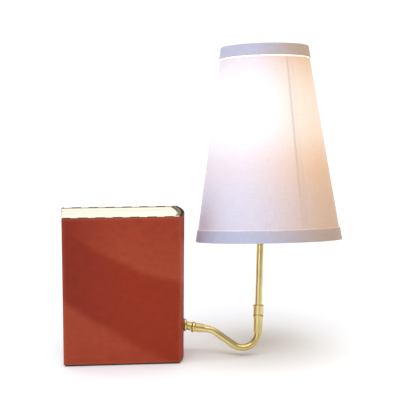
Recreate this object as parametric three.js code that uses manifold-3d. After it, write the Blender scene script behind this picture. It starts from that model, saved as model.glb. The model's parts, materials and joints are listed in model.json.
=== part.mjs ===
import * as THREE from 'three';
import { mergeVertices } from 'three/addons/utils/BufferGeometryUtils.js';
import Module from 'manifold-3d';

// A clip-on reading lamp: a book-shaped weighted base, a bent brass arm that turns in the book's spine,
// a stem with a key-switch socket and a bulb, and a fabric shade held to the bulb by a spring clip.
// Millimetres, +Z up. +X runs from the book towards the lamp, -Y is the reader's side.
// The origin is the middle of the underside of the book.

// ---- Clearances ----
const PIECE_GAP = 0.3;
const SHAFT_GAP = 0.3;
const LEAD_GAP = 0.6;

// ---- Book-shaped base ----
const BOOK_WIDTH = 148.1;
const BOOK_HEIGHT = 194.2;
const BOOK_THICKNESS = 59;
const BOARD_THICKNESS = 4;
const BOARD_CORNER_RADIUS = 2;
const BOARD_EDGE_ROUND = 0.8;
const SPINE_BULGE = 7;
const SPINE_THICKNESS = 3.5;
const PAGE_SQUARE = 3;
const PAGE_WALL = 6;
const FELT_THICKNESS = 1.5;
const FELT_INSET = 2;
const BAND_RADIUS = 1.9;
const BAND_INSET = 2.6;
const BALLAST_HEIGHT = 60;
const BALLAST_WIDTH = 78;
const BALLAST_CORD_CHANNEL = 14;
const ANCHOR_DEPTH = 16;
const ANCHOR_HEIGHT = 66;
const CORD_HOLE_RADIUS = 4.6;
const CORD_HOLE_HEIGHT = 17;
const BUSHING_BORE_RADIUS = 3.2;
const BUSHING_LIP = 1.8;
const BUSHING_LIP_THICKNESS = 1.6;
const TERMINAL_WIDTH = 22;
const TERMINAL_DEPTH = 16;
const TERMINAL_HEIGHT = 12;
const TERMINAL_POST_RADIUS = 2.2;
const TERMINAL_POST_SPACING = 10;
const TERMINAL_SCREW_RECESS = 1;

// ---- Swivel through the spine ----
const SWIVEL_HEIGHT = 42.3;
const NIPPLE_RADIUS = 5.15;
const NIPPLE_BORE_RADIUS = 3.6;
const NIPPLE_INNER_LENGTH = 40;
const NUT_WIDTH = 15;
const NUT_THICKNESS = 4.5;
const WASHER_RADIUS = 9;
const WASHER_THICKNESS = 1.2;
const FLANGE_RADIUS = 8.2;
const FLANGE_THICKNESS = 4.2;
const FLANGE_DOME_SHARE = 0.45;
const SPIGOT_LENGTH = 22;
const ARM_LEAN = THREE.MathUtils.degToRad(13);

// ---- Bent arm ----
const LEAD_RADIUS = 1.5;
const TUBE_WALL = 1.2;
const ARM_TUBE_RADIUS = 4.6;
const NECK_RADIUS = 5.4;
const NECK_LENGTH = 12.9;
const NECK_SLOPE = THREE.MathUtils.degToRad(-14);
const COLLAR_BEAD_RADIUS = 7.1;
const COLLAR_BEAD_WIDTH = 4.4;
const COLLAR_LENGTH = 14;
const COLLAR_MOUTH_WALL = 0.5;
const LEAD_IN_LENGTH = 18;
const LEAD_IN_SLOPE = THREE.MathUtils.degToRad(-9.5);
const DROP_BEND_RADIUS = 28;
const DROP_SLOPE = THREE.MathUtils.degToRad(-36);
const DROP_LENGTH = 28.4;
const HOOK_BEND_RADIUS = 20;
const STEM_SLOPE = THREE.MathUtils.degToRad(87.65);

// ---- Ferrule between arm and stem ----
const HOOK_END_LENGTH = 16;
const FERRULE_TAPER_LENGTH = 15;
const FERRULE_RADIUS = 6.6;
const FERRULE_RING_RADIUS = 7.1;
const FERRULE_RING_WIDTH = 2.6;
const FERRULE_RING_BEVEL = FERRULE_RING_WIDTH / 4;
const FERRULE_SHOULDER = 2;
const FERRULE_CAP_FLOOR = 2;
const FERRULE_BASE_LENGTH = 23.2;
const FERRULE_CAP_LENGTH = 12.6;
const FERRULE_SPIGOT_LENGTH = 15;

// ---- Stem, socket and bulb ----
const STEM_TUBE_RADIUS = 4.65;
const SOCKET_HEIGHT = 145.6;
const SOCKET_CAP_LENGTH = 28;
const SOCKET_CAP_RADIUS = 16.9;
const SOCKET_CAP_NECK_WALL = 2.2;
const SOCKET_CAP_NECK_SHARE = 0.28;
const SOCKET_CAP_FLARE_SHARE = 0.4;
const SOCKET_CAP_SHOULDER_SHARE = 0.56;
const SOCKET_CAP_SHOULDER_SPREAD = 0.92;
const SOCKET_CAP_RIM_SHARE = 0.72;
const SOCKET_SHELL_LENGTH = 44;
const SOCKET_SHELL_RADIUS = 16.3;
const SOCKET_SHELL_WALL = 0.9;
const SLEEVE_WALL = 0.7;
const SLEEVE_PROUD = 1;
const SCREW_SHELL_WALL = 0.5;
const SOCKET_CORE_LENGTH = 20;
const CONTACT_RADIUS = 3;
const CONTACT_THICKNESS = 2.2;
const BULB_BASE_LENGTH = 24;
const BULB_BASE_WALL = 0.7;
const BULB_BASE_TAPER = 2.4;
const BULB_BASE_HEEL = 1;
const BULB_BASE_RIM = 2;
const BULB_THREAD_TURNS = 5;
const BULB_THREAD_DEPTH = 0.6;
const BULB_TIP_LENGTH = 4;
const BULB_TIP_TAPER = 3;
const BULB_TIP_STEP = 1;
const BULB_NECK_RADIUS = 13;
const BULB_RADIUS = 30;
const BULB_GLASS_LENGTH = 82;
const BULB_GLASS_WALL = 0.8;
const BULB_JOIN_ANGLE = THREE.MathUtils.degToRad(-38);
const BULB_NECK_SHARE = 0.2;
const BULB_SWELL = 0.6;
const FILAMENT_SUPPORT_RADIUS = 4.2;
const FILAMENT_SUPPORT_LENGTH = 26;
const FILAMENT_FOOT_INSET = 1.6;
const FILAMENT_FOOT_HEIGHT = 3;
const FILAMENT_WAIST_HEIGHT = 9;
const FILAMENT_TIP_HEIGHT = 2;
const FILAMENT_SPAN = 22;
const FILAMENT_RADIUS = 0.6;
const FILAMENT_RISE = 14;
const FILAMENT_BOW = 1;
const FILAMENT_SAG = 2;
const FILAMENT_FEET = 3;
const SWITCH_ABOVE_CAP = 10;
const SWITCH_SHAFT_RADIUS = 2;
const SWITCH_SHAFT_LENGTH = 17;
const SWITCH_SHAFT_DEPTH = 6;
const KNOB_RADIUS = 5;
const KNOB_LENGTH = 12;
const KNOB_FLAT = 2.4;
const KNOB_FOOT_SPREAD = 0.6;
const KNOB_WAIST_SPREAD = 0.5;
const KNOB_WAIST_SHARE = 0.2;
const KNOB_BODY_SHARE = 0.45;
const KNOB_ROUND = 1;

// ---- Bulb clip ----
const CLIP_WIRE_RADIUS = 1;
const CLIP_LEG_SPREAD = THREE.MathUtils.degToRad(38);
const CLIP_LEG_TOP_ANGLE = THREE.MathUtils.degToRad(24);
const CLIP_LEG_LOW_ANGLE = THREE.MathUtils.degToRad(86);
const CLIP_HUB_RADIUS = 5;
const SADDLE_ABOVE_BULB = 8;
const SADDLE_RADIUS = 8;
const SADDLE_THICKNESS = 2.4;
const PIVOT_ABOVE_SADDLE = 16;
const TAB_WIDTH = 9;
const TAB_THICKNESS = 3;
const RIVET_RADIUS = 1.6;
const RIVET_HEAD_RADIUS = 3.2;
const RIVET_HEAD_THICKNESS = 1.4;
const RIVET_CROWN_SPREAD = 0.7;

// ---- Shade ----
const SHADE_TOP_RADIUS = 57.15;
const SHADE_BOTTOM_RADIUS = 95.25;
const SHADE_HEIGHT = 251.1;
const SHADE_PIVOT_DROP = 25;
const SHADE_LEAN = THREE.MathUtils.degToRad(0.45);
const FABRIC_THICKNESS = 0.8;
const LINER_THICKNESS = 0.7;
const TRIM_THICKNESS = 1;
const TRIM_HEIGHT = 15.2;
const TRIM_INSIDE_HEIGHT = 7;
const RING_WIRE_RADIUS = 1.3;
const YOKE_EAR_THICKNESS = 1.6;
const YOKE_HEIGHT = 9;
const YOKE_CAP_RADIUS = 8;
const YOKE_CAP_THICKNESS = 2.5;
const SPIDER_ARM_RADIUS = 1.5;
const SPIDER_ARMS = 3;
const SPIDER_ROOT = 6;
const SPIDER_END = 10;
const SPIDER_END_RISE = 1;

// ---- Facets ----
const SHADE_FACETS = 64;
const BODY_FACETS = 28;
const SMALL_FACETS = 16;
const WIRE_FACETS = 8;
const RING_FACETS = 48;
const BULB_FACETS = 24;
const BAND_FACETS = 10;
const FILAMENT_FACETS = 6;
const NUT_SIDES = 6;
const SPINE_STEPS = 24;
const FELT_STEPS = 16;
const BAND_POINTS = 12;
const BAND_STEPS = 14;
const LEAD_STEPS = 36;
const BEAD_STEPS = 6;
const BULB_BLEND_STEPS = 5;
const BULB_CROWN_STEPS = 9;
const FILAMENT_STEPS = 24;
const CLIP_LEG_STEPS = 5;
const CLIP_STEPS = 40;
const SPIDER_STEPS = 12;
const BEND_STEP = THREE.MathUtils.degToRad(6);
const WELD_DISTANCE = 1e-4;

// ---- Values that follow from the sizes above ----
const FOOT_Z = FELT_THICKNESS + PIECE_GAP;
const TOP_Z = BOOK_HEIGHT;
const PAGE_TOP_Z = TOP_Z - PAGE_SQUARE;
const FORE_EDGE_X = -BOOK_WIDTH / 2;
const JOINT_X = BOOK_WIDTH / 2;
const SPINE_X = JOINT_X + SPINE_BULGE;
const PAGE_HALF_DEPTH = BOOK_THICKNESS / 2 - BOARD_THICKNESS - PIECE_GAP;
const PAGE_LEFT_X = FORE_EDGE_X + PAGE_SQUARE;
const CAVITY_LEFT_X = PAGE_LEFT_X + PAGE_WALL;
const CAVITY_RIGHT_X = JOINT_X - PAGE_WALL;
const CAVITY_FLOOR_Z = FOOT_Z + PAGE_WALL;
const CAVITY_TOP_Z = PAGE_TOP_Z - PAGE_WALL;
const SPINE_RADIUS = ((BOOK_THICKNESS / 2) ** 2 + SPINE_BULGE ** 2) / (2 * SPINE_BULGE);
const SPINE_CENTRE_X = SPINE_X - SPINE_RADIUS;
const SPIGOT_RADIUS = NIPPLE_BORE_RADIUS - SHAFT_GAP;
const LEAD_BORE_RADIUS = LEAD_RADIUS + LEAD_GAP;
const ARM_BORE_RADIUS = ARM_TUBE_RADIUS - TUBE_WALL;
const STEM_BORE_RADIUS = STEM_TUBE_RADIUS - TUBE_WALL;
const SOCKET_SHELL_Z = SOCKET_HEIGHT + SOCKET_CAP_LENGTH + PIECE_GAP;
const SOCKET_MOUTH_Z = SOCKET_SHELL_Z + SOCKET_SHELL_LENGTH;
const SLEEVE_RADIUS = SOCKET_SHELL_RADIUS - SOCKET_SHELL_WALL - PIECE_GAP;
const SCREW_SHELL_RADIUS = SLEEVE_RADIUS - SLEEVE_WALL - PIECE_GAP;
const BULB_BASE_RADIUS = SCREW_SHELL_RADIUS - SCREW_SHELL_WALL - PIECE_GAP;
const CORE_RADIUS = SCREW_SHELL_RADIUS - PIECE_GAP;
const CORE_TOP_Z = SOCKET_SHELL_Z + SOCKET_CORE_LENGTH;
const BULB_TIP_Z = CORE_TOP_Z + CONTACT_THICKNESS + 2 * PIECE_GAP;
const BULB_BASE_Z = BULB_TIP_Z + BULB_TIP_LENGTH + PIECE_GAP;
const BULB_GLASS_Z = BULB_BASE_Z + BULB_BASE_LENGTH + PIECE_GAP;
const BULB_TOP_Z = BULB_GLASS_Z + BULB_GLASS_LENGTH;
const BULB_CENTRE_Z = BULB_TOP_Z - BULB_RADIUS;
const SADDLE_Z = BULB_TOP_Z + SADDLE_ABOVE_BULB;
const PIVOT_Z = SADDLE_Z + PIVOT_ABOVE_SADDLE;
const SWITCH_Z = SOCKET_SHELL_Z + SWITCH_ABOVE_CAP;

// ---- Materials ----
function material(name, color, roughness, metalness) {
  const made = new THREE.MeshStandardMaterial({ color, roughness, metalness });
  made.name = name;
  return made;
}

const redLeather = () => material('red_leather', 0x96412f, 0.55, 0);
const pagePaper = () => material('page_paper', 0xf0ecdc, 0.85, 0);
const bandCloth = () => material('band_cloth', 0x6b4a38, 0.8, 0);
const darkFelt = () => material('dark_felt', 0x3c3a38, 0.95, 0);
const plainSteel = () => material('plain_steel', 0x8d9094, 0.45, 0.9);
const blockWood = () => material('block_wood', 0xb98f5f, 0.75, 0);
const agedBrass = () => material('aged_brass', 0xc8aa5c, 0.3, 1);
const blackRubber = () => material('black_rubber', 0x1d1d1d, 0.8, 0);
const phenolic = () => material('phenolic', 0x2a2422, 0.5, 0);
const goldLead = () => material('gold_lead', 0xb9974a, 0.5, 0);
const fibreSleeve = () => material('fibre_sleeve', 0x4a3b2e, 0.9, 0);
const aluminiumCap = () => material('aluminium_cap', 0xc9cbcd, 0.35, 1);
const bulbGlass = () => material('bulb_glass', 0xfff4e0, 0.2, 0);
const filamentWire = () => material('filament_wire', 0xffc070, 0.5, 0.5);
const linerSheet = () => material('liner_sheet', 0xf6efe2, 0.6, 0);
const linenCloth = () => material('linen_cloth', 0xefe6de, 0.9, 0);
const trimCloth = () => material('trim_cloth', 0xd9d2cf, 0.9, 0);
const wireSteel = () => material('wire_steel', 0xb4b6b8, 0.35, 1);

// ---- Solid modelling ----
const wasm = await Module();
wasm.setup();

function signedVolume(geometry) {
  const at = geometry.getAttribute('position');
  const index = geometry.getIndex();
  const corners = [new THREE.Vector3(), new THREE.Vector3(), new THREE.Vector3()];
  const count = index ? index.count : at.count;
  let total = 0;
  for (let i = 0; i < count; i += 3) {
    corners.forEach((corner, k) => corner.fromBufferAttribute(at, index ? index.getX(i + k) : i + k));
    total += corners[0].dot(corners[1].clone().cross(corners[2])) / 6;
  }
  return total;
}

// Welds a closed geometry and turns its faces outwards.
function closedBody(geometry) {
  geometry.deleteAttribute('normal');
  geometry.deleteAttribute('uv');
  const welded = mergeVertices(geometry, WELD_DISTANCE);
  if (signedVolume(welded) < 0) {
    const order = welded.getIndex();
    for (let i = 0; i < order.count; i += 3) {
      const first = order.getX(i);
      order.setX(i, order.getX(i + 1));
      order.setX(i + 1, first);
    }
  }
  return welded;
}

function toManifold(geometry) {
  const closed = closedBody(geometry);
  const vertProperties = new Float32Array(closed.getAttribute('position').array);
  const triVerts = new Uint32Array(closed.getIndex().array);
  return new wasm.Manifold(new wasm.Mesh({ numProp: 3, vertProperties, triVerts }));
}

function toGeometry(manifold) {
  const { vertProperties, triVerts } = manifold.getMesh();
  const geometry = new THREE.BufferGeometry();
  geometry.setAttribute('position', new THREE.BufferAttribute(new Float32Array(vertProperties), 3));
  geometry.setIndex(new THREE.BufferAttribute(new Uint32Array(triVerts), 1));
  return geometry;
}

function joined(...geometries) {
  return toGeometry(geometries.map(toManifold).reduce((sum, next) => sum.add(next)));
}

function cutBy(geometry, ...tools) {
  return toGeometry(tools.map(toManifold).reduce((rest, tool) => rest.subtract(tool), toManifold(geometry)));
}

function keptInside(geometry, region) {
  return toGeometry(toManifold(geometry).intersect(toManifold(region)));
}

// A box given by its low and high corners.
function block(low, high) {
  const size = high.map((value, k) => value - low[k]);
  const geometry = new THREE.BoxGeometry(...size);
  geometry.translate(...high.map((value, k) => (value + low[k]) / 2));
  return geometry;
}

// A round body about Z. The profile is a list of [radius, height].
function turned(profile, facets = BODY_FACETS) {
  const points = profile.map(([radius, height]) => new THREE.Vector2(radius, height));
  const geometry = new THREE.LatheGeometry(points, facets);
  geometry.rotateX(Math.PI / 2);
  return geometry;
}

function rod(radius, low, high, facets = SMALL_FACETS) {
  return turned([[0, low], [radius, low], [radius, high], [0, high]], facets);
}

function pipe(radius, bore, low, high, facets = SMALL_FACETS) {
  return turned([[bore, low], [radius, low], [radius, high], [bore, high], [bore, low]], facets);
}

// Turns a body about Z so that its axis lies along +X or -Y.
const alongX = (geometry) => geometry.rotateY(Math.PI / 2);
const alongMinusY = (geometry) => geometry.rotateX(Math.PI / 2);

function circleShape(radius, bore, facets) {
  const ring = (r) => Array.from({ length: facets }, (_, i) => {
    const turn = (i / facets) * 2 * Math.PI;
    return new THREE.Vector2(r * Math.cos(turn), r * Math.sin(turn));
  });
  const shape = new THREE.Shape(ring(radius));
  if (bore > 0) {
    shape.holes.push(new THREE.Path(ring(bore)));
  }
  return shape;
}

// A round bar or pipe along a curve.
function swept(curve, radius, bore, steps, facets) {
  return new THREE.ExtrudeGeometry(circleShape(radius, bore, facets), {
    steps,
    extrudePath: curve,
    bevelEnabled: false,
  });
}

function extruded(shape, depth) {
  return new THREE.ExtrudeGeometry(shape, { depth, bevelEnabled: false });
}

function piece(name, geometry, finish) {
  const mesh = new THREE.Mesh(closedBody(geometry), finish);
  mesh.name = name;
  return mesh;
}

// ---- Base ----
// A board of the cover, standing on its tail edge with rounded corners and edges.
function board(centreY) {
  const round = BOARD_EDGE_ROUND;
  const shape = new THREE.Shape();
  const left = FORE_EDGE_X + round;
  const right = JOINT_X - round;
  const bottom = FOOT_Z + round;
  const top = TOP_Z - round;
  const corner = BOARD_CORNER_RADIUS;
  shape.moveTo(left + corner, bottom);
  shape.lineTo(right - corner, bottom);
  shape.quadraticCurveTo(right, bottom, right, bottom + corner);
  shape.lineTo(right, top - corner);
  shape.quadraticCurveTo(right, top, right - corner, top);
  shape.lineTo(left + corner, top);
  shape.quadraticCurveTo(left, top, left, top - corner);
  shape.lineTo(left, bottom + corner);
  shape.quadraticCurveTo(left, bottom, left + corner, bottom);
  const geometry = new THREE.ExtrudeGeometry(shape, {
    depth: BOARD_THICKNESS - 2 * round,
    bevelEnabled: true,
    bevelThickness: round,
    bevelSize: round,
    bevelSegments: 3,
    curveSegments: 4,
  });
  geometry.rotateX(Math.PI / 2);
  geometry.translate(0, centreY + (BOARD_THICKNESS - 2 * round) / 2, 0);
  return geometry;
}

const BOARD_Y = (BOOK_THICKNESS - BOARD_THICKNESS) / 2;
const INLET_X = CAVITY_LEFT_X + BALLAST_CORD_CHANNEL / 2;

function backBoard() {
  const hole = alongMinusY(rod(CORD_HOLE_RADIUS, -BOOK_THICKNESS, 0));
  hole.translate(INLET_X, 0, CORD_HOLE_HEIGHT);
  return cutBy(board(BOARD_Y), hole);
}

// Points on an arc about the spine's centre of curvature, from the front (-Y) to the back.
function spineArc(radius, halfDepth, steps) {
  const reach = Math.asin(halfDepth / radius);
  return Array.from({ length: steps + 1 }, (_, i) => {
    const turn = -reach + (2 * reach * i) / steps;
    return new THREE.Vector2(SPINE_CENTRE_X + radius * Math.cos(turn), radius * Math.sin(turn));
  });
}

function swivelHole(radius) {
  const hole = alongX(rod(radius, 0, SPINE_X + FLANGE_THICKNESS));
  hole.translate(0, 0, SWIVEL_HEIGHT);
  return hole;
}

function spine() {
  const outer = spineArc(SPINE_RADIUS, BOOK_THICKNESS / 2, SPINE_STEPS);
  const inner = spineArc(SPINE_RADIUS - SPINE_THICKNESS, PAGE_HALF_DEPTH, SPINE_STEPS).reverse();
  const joint = JOINT_X + PIECE_GAP;
  const rim = [new THREE.Vector2(joint, PAGE_HALF_DEPTH), new THREE.Vector2(joint, -PAGE_HALF_DEPTH)];
  const clear = inner.filter((point) => point.x > joint);
  const start = new THREE.Vector2(joint, -BOOK_THICKNESS / 2);
  const end = new THREE.Vector2(joint, BOOK_THICKNESS / 2);
  const edge = outer.filter((point) => point.x > joint);
  const shape = new THREE.Shape([start, ...edge, end, rim[0], ...clear, rim[1]]);
  const shell = extruded(shape, TOP_Z - FOOT_Z);
  shell.translate(0, 0, FOOT_Z);
  return cutBy(shell, swivelHole(NIPPLE_RADIUS + PIECE_GAP));
}

// The page block: a solid-looking stack of leaves with a rounded back, hollow inside for the ballast.
function pageBlock() {
  const back = spineArc(SPINE_RADIUS - SPINE_THICKNESS - PIECE_GAP, PAGE_HALF_DEPTH, SPINE_STEPS);
  const front = [
    new THREE.Vector2(PAGE_LEFT_X, PAGE_HALF_DEPTH),
    new THREE.Vector2(PAGE_LEFT_X, -PAGE_HALF_DEPTH),
  ];
  const stack = extruded(new THREE.Shape([...back, ...front]), PAGE_TOP_Z - FOOT_Z);
  stack.translate(0, 0, FOOT_Z);
  const room = block(
    [CAVITY_LEFT_X, -BOOK_THICKNESS, CAVITY_FLOOR_Z],
    [CAVITY_RIGHT_X, BOOK_THICKNESS, CAVITY_TOP_Z],
  );
  return cutBy(stack, room, swivelHole(NIPPLE_RADIUS + PIECE_GAP));
}

// A rolled band that follows the rounded back of the page block.
function endBand(height) {
  const radius = SPINE_RADIUS - SPINE_THICKNESS - BAND_INSET;
  const points = spineArc(radius, PAGE_HALF_DEPTH - BAND_RADIUS, BAND_POINTS);
  const corners = points.map((point) => new THREE.Vector3(point.x, point.y, height));
  const curve = new THREE.CatmullRomCurve3(corners);
  return swept(curve, BAND_RADIUS, 0, BAND_STEPS, BAND_FACETS);
}

function feltPad() {
  const inset = FELT_INSET;
  const back = spineArc(SPINE_RADIUS - inset, BOOK_THICKNESS / 2 - inset, FELT_STEPS);
  const left = FORE_EDGE_X + inset;
  const depth = BOOK_THICKNESS / 2 - inset;
  const shape = new THREE.Shape([...back, new THREE.Vector2(left, depth), new THREE.Vector2(left, -depth)]);
  return extruded(shape, FELT_THICKNESS);
}

const BALLAST_LEFT_X = CAVITY_LEFT_X + BALLAST_CORD_CHANNEL;
const BALLAST_TOP_Z = CAVITY_FLOOR_Z + PIECE_GAP + BALLAST_HEIGHT;
const INSIDE_HALF_DEPTH = PAGE_HALF_DEPTH - PIECE_GAP;

function ballast() {
  return block(
    [BALLAST_LEFT_X, -INSIDE_HALF_DEPTH, CAVITY_FLOOR_Z + PIECE_GAP],
    [BALLAST_LEFT_X + BALLAST_WIDTH, INSIDE_HALF_DEPTH, BALLAST_TOP_Z],
  );
}

const ANCHOR_RIGHT_X = CAVITY_RIGHT_X - PIECE_GAP;
const ANCHOR_LEFT_X = ANCHOR_RIGHT_X - ANCHOR_DEPTH;

function anchorBlock() {
  const body = block(
    [ANCHOR_LEFT_X, -INSIDE_HALF_DEPTH, CAVITY_FLOOR_Z + PIECE_GAP],
    [ANCHOR_RIGHT_X, INSIDE_HALF_DEPTH, CAVITY_FLOOR_Z + PIECE_GAP + ANCHOR_HEIGHT],
  );
  return cutBy(body, swivelHole(NIPPLE_RADIUS + PIECE_GAP));
}

const NIPPLE_LEFT_X = SPINE_X - NIPPLE_INNER_LENGTH;

function nipple() {
  const tube = alongX(pipe(NIPPLE_RADIUS, NIPPLE_BORE_RADIUS, NIPPLE_LEFT_X, SPINE_X + FLANGE_THICKNESS));
  tube.translate(0, 0, SWIVEL_HEIGHT);
  return tube;
}

function lockWasher() {
  const right = ANCHOR_LEFT_X - PIECE_GAP;
  const ring = alongX(pipe(WASHER_RADIUS, NIPPLE_RADIUS + PIECE_GAP, right - WASHER_THICKNESS, right));
  ring.translate(0, 0, SWIVEL_HEIGHT);
  return ring;
}

function lockNut() {
  const right = ANCHOR_LEFT_X - 2 * PIECE_GAP - WASHER_THICKNESS;
  const corner = NUT_WIDTH / 2 / Math.cos(Math.PI / NUT_SIDES);
  const hexagon = rod(corner, right - NUT_THICKNESS, right, NUT_SIDES);
  const bore = rod(NIPPLE_RADIUS + PIECE_GAP, right - 2 * NUT_THICKNESS, right + NUT_THICKNESS);
  const nut = alongX(cutBy(hexagon, bore));
  nut.translate(0, 0, SWIVEL_HEIGHT);
  return nut;
}

// The domed flange that covers the hole in the spine.
function flange() {
  const bore = NIPPLE_RADIUS + PIECE_GAP;
  const start = SPINE_X + PIECE_GAP;
  const end = SPINE_X + FLANGE_THICKNESS;
  const dome = end - (end - start) * FLANGE_DOME_SHARE;
  const shoulder = (FLANGE_RADIUS + bore) / 2;
  const profile = [
    [bore, start],
    [FLANGE_RADIUS, start],
    [FLANGE_RADIUS, dome],
    [shoulder, end],
    [bore, end],
  ];
  const ring = alongX(turned([...profile, profile[0]]));
  ring.translate(0, 0, SWIVEL_HEIGHT);
  return ring;
}

function cordBushing() {
  const outerY = BOOK_THICKNESS / 2;
  const innerY = outerY - BOARD_THICKNESS;
  const barrel = CORD_HOLE_RADIUS - PIECE_GAP;
  const lip = CORD_HOLE_RADIUS + BUSHING_LIP;
  const bore = BUSHING_BORE_RADIUS;
  const faceY = outerY + PIECE_GAP;
  const profile = [
    [bore, innerY],
    [barrel, innerY],
    [barrel, faceY],
    [lip, faceY],
    [lip, faceY + BUSHING_LIP_THICKNESS],
    [bore, faceY + BUSHING_LIP_THICKNESS],
    [bore, innerY],
  ];
  const bushing = turned(profile, SMALL_FACETS);
  bushing.rotateX(-Math.PI / 2);
  bushing.translate(INLET_X, 0, CORD_HOLE_HEIGHT);
  return bushing;
}

const TERMINAL_RIGHT_X = BALLAST_LEFT_X + BALLAST_WIDTH - TERMINAL_WIDTH;
const TERMINAL_Z = BALLAST_TOP_Z + PIECE_GAP;

function terminalBlock() {
  const left = TERMINAL_RIGHT_X - TERMINAL_WIDTH;
  const half = TERMINAL_DEPTH / 2;
  const top = TERMINAL_Z + TERMINAL_HEIGHT;
  const body = block([left, -half, TERMINAL_Z], [TERMINAL_RIGHT_X, half, top]);
  const wells = [-1, 1].map((side) => {
    const well = rod(TERMINAL_POST_RADIUS, TERMINAL_Z + TERMINAL_HEIGHT / 2, top + TERMINAL_HEIGHT);
    well.translate((left + TERMINAL_RIGHT_X) / 2 + (side * TERMINAL_POST_SPACING) / 2, 0, 0);
    return well;
  });
  return cutBy(body, ...wells);
}

function terminalScrew(side) {
  const middle = TERMINAL_RIGHT_X - TERMINAL_WIDTH / 2;
  const low = TERMINAL_Z + TERMINAL_HEIGHT / 2 + PIECE_GAP;
  const top = TERMINAL_Z + TERMINAL_HEIGHT - TERMINAL_SCREW_RECESS;
  const screw = rod(TERMINAL_POST_RADIUS - PIECE_GAP, low, top);
  screw.translate(middle + (side * TERMINAL_POST_SPACING) / 2, 0, 0);
  return screw;
}

// The lead from the terminal block down behind the anchor block and into the nipple.
function baseLead() {
  const level = TERMINAL_Z + TERMINAL_HEIGHT / 2;
  const dropX = (BALLAST_LEFT_X + BALLAST_WIDTH + NIPPLE_LEFT_X) / 2;
  const bend = NIPPLE_LEFT_X - dropX;
  const points = [
    [TERMINAL_RIGHT_X + PIECE_GAP, level],
    [dropX - bend, level],
    [dropX, level - bend],
    [dropX, SWIVEL_HEIGHT + 2 * bend],
    [dropX + bend, SWIVEL_HEIGHT],
    [SPINE_X - SPIGOT_LENGTH - PIECE_GAP, SWIVEL_HEIGHT],
  ];
  const corners = points.map(([x, z]) => new THREE.Vector3(x, 0, z));
  const curve = new THREE.CatmullRomCurve3(corners, false, 'centripetal');
  return swept(curve, LEAD_RADIUS, 0, LEAD_STEPS, WIRE_FACETS);
}

function makeBase() {
  const base = new THREE.Group();
  base.name = 'base';
  base.add(
    piece('front_board', board(-BOARD_Y), redLeather()),
    piece('back_board', backBoard(), redLeather()),
    piece('spine', spine(), redLeather()),
    piece('page_block', pageBlock(), pagePaper()),
    piece('head_band', endBand(PAGE_TOP_Z + BAND_RADIUS + PIECE_GAP), bandCloth()),
    piece('felt_pad', feltPad(), darkFelt()),
    piece('ballast_block', ballast(), plainSteel()),
    piece('anchor_block', anchorBlock(), blockWood()),
    piece('swivel_nipple', nipple(), plainSteel()),
    piece('lock_washer', lockWasher(), plainSteel()),
    piece('lock_nut', lockNut(), plainSteel()),
    piece('spine_flange', flange(), agedBrass()),
    piece('cord_bushing', cordBushing(), blackRubber()),
    piece('terminal_block', terminalBlock(), phenolic()),
    piece('terminal_screw_left', terminalScrew(-1), plainSteel()),
    piece('terminal_screw_right', terminalScrew(1), plainSteel()),
    piece('base_lead', baseLead(), goldLead()),
  );
  return base;
}

// ---- Arm ----
// The arm's centre line lies in the XZ plane of the arm's own frame, whose origin is the spine's crown.
class PlanarPath {
  constructor(x, z, slope) {
    this.at = new THREE.Vector2(x, z);
    this.slope = slope;
    this.curve = new THREE.CurvePath();
  }

  place(point) {
    return new THREE.Vector3(point.x, 0, point.y);
  }

  onward(start, slope, length) {
    return new THREE.Vector2(Math.cos(slope), Math.sin(slope)).multiplyScalar(length).add(start);
  }

  straight(length) {
    const end = this.onward(this.at, this.slope, length);
    this.curve.add(new THREE.LineCurve3(this.place(this.at), this.place(end)));
    this.at = end;
    return this;
  }

  bend(radius, slope) {
    const side = Math.sign(slope - this.slope);
    const toCentre = this.slope + (side * Math.PI) / 2;
    const centre = this.onward(this.at, toCentre, radius);
    const from = this.slope - (side * Math.PI) / 2;
    const steps = Math.ceil(Math.abs(slope - this.slope) / BEND_STEP);
    const turn = (slope - this.slope) / steps;
    for (let i = 1; i <= steps; i += 1) {
      const end = this.onward(centre, from + turn * i, radius);
      this.curve.add(new THREE.LineCurve3(this.place(this.at), this.place(end)));
      this.at = end;
    }
    this.slope = slope;
    return this;
  }
}

// A curve that visits every corner of a planar path at its own spacing, so that sweeps keep the bends true.
class CornerCurve extends THREE.Curve {
  constructor(path) {
    super();
    const [first] = path.curve.curves;
    this.corners = [first.v1, ...path.curve.curves.map((line) => line.v2)];
  }

  getPoint(t, target = new THREE.Vector3()) {
    const last = this.corners.length - 1;
    const place = Math.min(t * last, last);
    const index = Math.min(Math.floor(place), last - 1);
    return target.lerpVectors(this.corners[index], this.corners[index + 1], place - index);
  }

  getPointAt(u, target) {
    return this.getPoint(u, target);
  }

  getTangent(t, target = new THREE.Vector3()) {
    const last = this.corners.length - 1;
    const index = Math.round(t * last);
    const before = this.corners[Math.max(index - 1, 0)];
    const after = this.corners[Math.min(index + 1, last)];
    const here = this.corners[index];
    const incoming = here.clone().sub(before).normalize();
    const outgoing = after.clone().sub(here).normalize();
    return target.copy(incoming).add(outgoing).normalize();
  }

  getTangentAt(u, target) {
    return this.getTangent(u, target);
  }

  get steps() {
    return this.corners.length - 1;
  }
}

const COLLAR_X = NECK_LENGTH * Math.cos(NECK_SLOPE);
const COLLAR_Z = NECK_LENGTH * Math.sin(NECK_SLOPE);

function armPath(skip = 0, endLength = HOOK_END_LENGTH) {
  const x = COLLAR_X + skip * Math.cos(LEAD_IN_SLOPE);
  const z = COLLAR_Z + skip * Math.sin(LEAD_IN_SLOPE);
  return new PlanarPath(x, z, LEAD_IN_SLOPE)
    .straight(LEAD_IN_LENGTH - skip)
    .bend(DROP_BEND_RADIUS, DROP_SLOPE)
    .straight(DROP_LENGTH)
    .bend(HOOK_BEND_RADIUS, STEM_SLOPE)
    .straight(endLength);
}

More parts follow.
